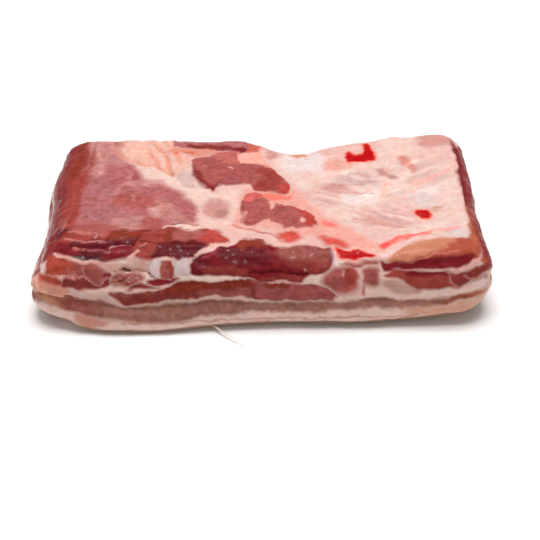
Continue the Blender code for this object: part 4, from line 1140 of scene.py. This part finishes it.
def raw_belly_meat():
    """Raw pork, cut and boned: wet lean with fine grain, soft fat and thin membrane over both.

    Lean is dark and nearly glassy where juice lies on it; fat is pale, waxy and soft-edged. Light
    goes a few mm into both.
    """
    material = new_material("raw_pork_belly")
    place = add_node(material, "ShaderNodeTexCoord").outputs["Object"]
    lean = add_node(material, "ShaderNodeAttribute", attribute_name="lean").outputs["Fac"]
    edge = add_node(material, "ShaderNodeAttribute", attribute_name="edge").outputs["Fac"]
    blood = add_node(material, "ShaderNodeAttribute", attribute_name="blood").outputs["Fac"]
    lean_tone = add_node(material, "ShaderNodeAttribute", attribute_name="lean_tone").outputs["Color"]
    fat_tone = add_node(material, "ShaderNodeAttribute", attribute_name="fat_tone").outputs["Color"]
    grain = add_node(material, "ShaderNodeAttribute", attribute_name="grain").outputs["Color"]
    grain = add_node(material, "ShaderNodeSeparateColor", [(0, grain)]).outputs

    sheet_streaks = speckle(material, place, 2.8, 3, 8, (6, 1, 1))
    rib_streaks = speckle(material, place, 1.5, 3, 17, (11, 1, 1))
    layer_streaks = speckle(material, place, 1.3, 3, 0, (9, 9, 1))
    streaks = 0.0
    for pattern, weight, strength in zip((sheet_streaks, rib_streaks, layer_streaks), grain, (0.22, 0.4, 0.2)):
        signed = combine(material, "SUBTRACT", pattern, 0.5)
        signed = combine(material, "MULTIPLY", signed, strength)
        streaks = combine(material, "MULTIPLY_ADD", signed, weight, streaks)
    crumb = combine(material, "SUBTRACT", speckle(material, place, 1.1, 3), 0.5)
    blotch = combine(material, "SUBTRACT", speckle(material, place, 4.5, 4), 0.5)
    cloud = combine(material, "SUBTRACT", speckle(material, place, 9.0, 3), 0.5)

    # the border of the lean wanders by about half a millimetre, and is as soft as its region says
    border = combine(material, "MULTIPLY_ADD", blotch, ramp(material, grain[2], 0, 1, 3.4, 1.8), lean)
    border = combine(material, "MULTIPLY_ADD", crumb, 0.9, border)
    border = combine(material, "DIVIDE", border, combine(material, "ADD", edge, 0.4))
    lean_share = ramp(material, border, -0.9, 0.9)
    light_lean = blend(material, 1.0, lean_tone, (1.5, 1.6, 1.6, 1), "MULTIPLY")
    dark_lean = blend(material, 1.0, lean_tone, (0.55, 0.4, 0.4, 1), "MULTIPLY")
    shade = combine(material, "MULTIPLY_ADD", streaks, 1.1, 0.5)
    shade = combine(material, "MULTIPLY_ADD", crumb, 0.4, shade)
    shade = combine(material, "MULTIPLY_ADD", blotch, 0.7, shade)
    lean_colour = blend(material, ramp(material, shade, 0.0, 1.0), dark_lean, light_lean)
    mauve_lean = blend(material, 1.0, lean_colour, (0.98, 1.0, 1.1, 1), "MULTIPLY")
    lean_colour = blend(material, ramp(material, cloud, -0.05, 0.15), lean_colour, mauve_lean)
    warm_fat = blend(material, 1.0, fat_tone, (1.0, 0.76, 0.7, 1), "MULTIPLY")
    pale_fat = blend(material, 1.0, fat_tone, (1.02, 1.1, 1.12, 1), "MULTIPLY")
    shade = combine(material, "MULTIPLY_ADD", streaks, 1.0, 0.5)
    shade = combine(material, "MULTIPLY_ADD", crumb, 0.2, shade)
    shade = combine(material, "MULTIPLY_ADD", blotch, 1.0, shade)
    fat_colour = blend(material, ramp(material, shade, 0.1, 0.9), warm_fat, pale_fat)
    colour = blend(material, lean_share, fat_colour, lean_colour)
    blood_edge = combine(material, "MULTIPLY_ADD", blotch, 4.0, blood)
    blood_share = ramp(material, blood_edge, -1.6, 1.2)
    blood_colour = blend(material, ramp(material, blood_edge, -0.5, 2.5), opaque("d8301e"), opaque("b4060e"))
    colour = blend(material, blood_share, colour, blood_colour)

    # lean and blood are dull but for small wet places; fat shines softly all over
    wet = ramp(material, speckle(material, place, 3.5, 3), 0.58, 0.68)
    rough = blend(material, lean_share, (0.4, 0.4, 0.4, 1), (0.33, 0.33, 0.33, 1))
    rough = combine(material, "MULTIPLY_ADD", wet, -0.12, rough)
    rough = combine(material, "MULTIPLY_ADD", blood_share, -0.1, rough)
    lean_gloss = combine(material, "MULTIPLY_ADD", wet, 0.3, 0.05)
    fat_gloss = combine(material, "MULTIPLY_ADD", wet, 0.3, 0.3)
    gloss = combine(material, "SUBTRACT", lean_gloss, fat_gloss)
    gloss = combine(material, "MULTIPLY_ADD", gloss, combine(material, "MAXIMUM", lean_share, blood_share), fat_gloss)
    relief = combine(material, "MULTIPLY_ADD", crumb, 0.5, streaks)
    relief = combine(material, "MULTIPLY_ADD", blotch, 1.2, relief)
    bump = add_node(material, "ShaderNodeBump", [
        ("Strength", 0.5), ("Distance", 0.3 * MM), ("Height", relief),
    ]).outputs[0]
    surface = add_node(material, "ShaderNodeBsdfPrincipled", [
        ("Base Color", colour), ("Roughness", rough), ("Normal", bump), ("IOR", 1.42),
        ("Subsurface Weight", 0.22), ("Subsurface Radius", (1.0, 0.35, 0.2)),
        ("Subsurface Scale", 0.004), ("Specular IOR Level", gloss),
    ])
    add_node(material, "ShaderNodeOutputMaterial", [("Surface", surface.outputs[0])])
    return material


def scalded_pork_rind():
    """Pig skin, scalded and scraped: tan, leathery and matt, dotted with pores."""
    material = new_material("scalded_pork_rind")
    place = add_node(material, "ShaderNodeTexCoord").outputs["Object"]
    blotch = speckle(material, place, 14, 4)
    grain = speckle(material, place, 1.0, 2)
    pores = add_node(material, "ShaderNodeTexVoronoi", [("Vector", place), ("Scale", 1 / (3.2 * MM))])
    pore = ramp(material, pores.outputs["Distance"], 0.10, 0.28)
    colour = blend(material, ramp(material, blotch, 0.35, 0.65), opaque("c89a78"), opaque("b08462"))
    colour = blend(material, pore, opaque("a87858"), colour)
    relief = combine(material, "MULTIPLY_ADD", grain, 0.4, pore)
    bump = add_node(material, "ShaderNodeBump", [
        ("Strength", 0.6), ("Distance", 0.4 * MM), ("Height", relief),
    ]).outputs[0]
    surface = add_node(material, "ShaderNodeBsdfPrincipled", [
        ("Base Color", colour), ("Roughness", 0.5), ("Normal", bump), ("IOR", 1.45),
        ("Subsurface Weight", 0.1), ("Subsurface Radius", (1.0, 0.5, 0.3)),
        ("Subsurface Scale", 0.002),
    ])
    add_node(material, "ShaderNodeOutputMaterial", [("Surface", surface.outputs[0])])
    return material


def dried_membrane():
    """A shred of silverskin: thin, whitish and half clear."""
    material = new_material("shred_of_silverskin")
    place = add_node(material, "ShaderNodeTexCoord").outputs["Object"]
    cloud = speckle(material, place, 2.0, 2)
    colour = blend(material, cloud, opaque("e8d8cc"), opaque("f2ebe2"))
    surface = add_node(material, "ShaderNodeBsdfPrincipled", [
        ("Base Color", colour), ("Roughness", 0.35), ("IOR", 1.4), ("Transmission Weight", 0.25),
    ])
    add_node(material, "ShaderNodeOutputMaterial", [("Surface", surface.outputs[0])])
    return material


def white_sweep():
    """The studio's matt white paper, nearly the tone of its light."""
    material = new_material("matt_white_paper")
    surface = add_node(material, "ShaderNodeBsdfPrincipled", [
        ("Base Color", opaque("f6f5f4")), ("Roughness", 0.75), ("Specular IOR Level", 0.2),
    ])
    add_node(material, "ShaderNodeOutputMaterial", [("Surface", surface.outputs[0])])
    return material


# ---------------------------------------------------------------- the studio


def make_floor():
    """A plain pale square, 6 m across, that the slab stands on."""
    mesh = bpy.data.meshes.new("floor")
    mesh.from_pydata([(-3, -3, 0), (3, -3, 0), (3, 3, 0), (-3, 3, 0)], [], [(0, 1, 2, 3)])
    mesh.materials.append(white_sweep())
    floor = bpy.data.objects.new("floor", mesh)
    bpy.context.scene.collection.objects.link(floor)


def add_softbox(name, place, aim, size, watts):
    """A square area light at a place (metres), facing another."""
    lamp = bpy.data.lights.new(name, "AREA")
    lamp.shape = "RECTANGLE"
    lamp.size, lamp.size_y = size
    lamp.energy = watts
    softbox = bpy.data.objects.new(name, lamp)
    bpy.context.scene.collection.objects.link(softbox)
    softbox.location = place
    away = np.array(place) - np.array(aim)
    flat = math.hypot(away[0], away[1])
    softbox.rotation_euler = (math.atan2(flat, away[2]), 0, math.atan2(away[0], -away[1]))


def make_studio():
    """Even white light all round, and a large softbox overhead, a little to the back."""
    world = bpy.data.worlds.new("studio")
    world.use_nodes = True
    background = world.node_tree.nodes["Background"]
    background.inputs["Color"].default_value = (1, 1, 1, 1)
    background.inputs["Strength"].default_value = 0.38
    bpy.context.scene.world = world
    add_softbox("overhead_softbox", (0.0, 0.12, 2.4), (0, 0, 0), (1.4, 1.0), 54.0)
    bpy.context.scene.view_settings.view_transform = "Standard"


EYE = (3.5, -644.31, 453)  # where the camera stands, in mm over the slab's plain block


def make_camera():
    """The camera stands in front of the slab and looks down on it at 36 degrees."""
    camera = bpy.data.objects.new("camera", bpy.data.cameras.new("camera"))
    camera.data.lens = 69.67
    camera.data.sensor_width = 36
    camera.location = (np.array(EYE) - MIDDLE) * MM
    camera.rotation_euler = (math.radians(54), 0, 0)
    bpy.context.scene.collection.objects.link(camera)
    bpy.context.scene.camera = camera


make_camera()
make_studio()
make_floor()
meat = make_meat(raw_belly_meat())
rind = make_rind(scalded_pork_rind())
make_strand(dried_membrane())
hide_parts(SLAB)
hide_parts(SLAB)
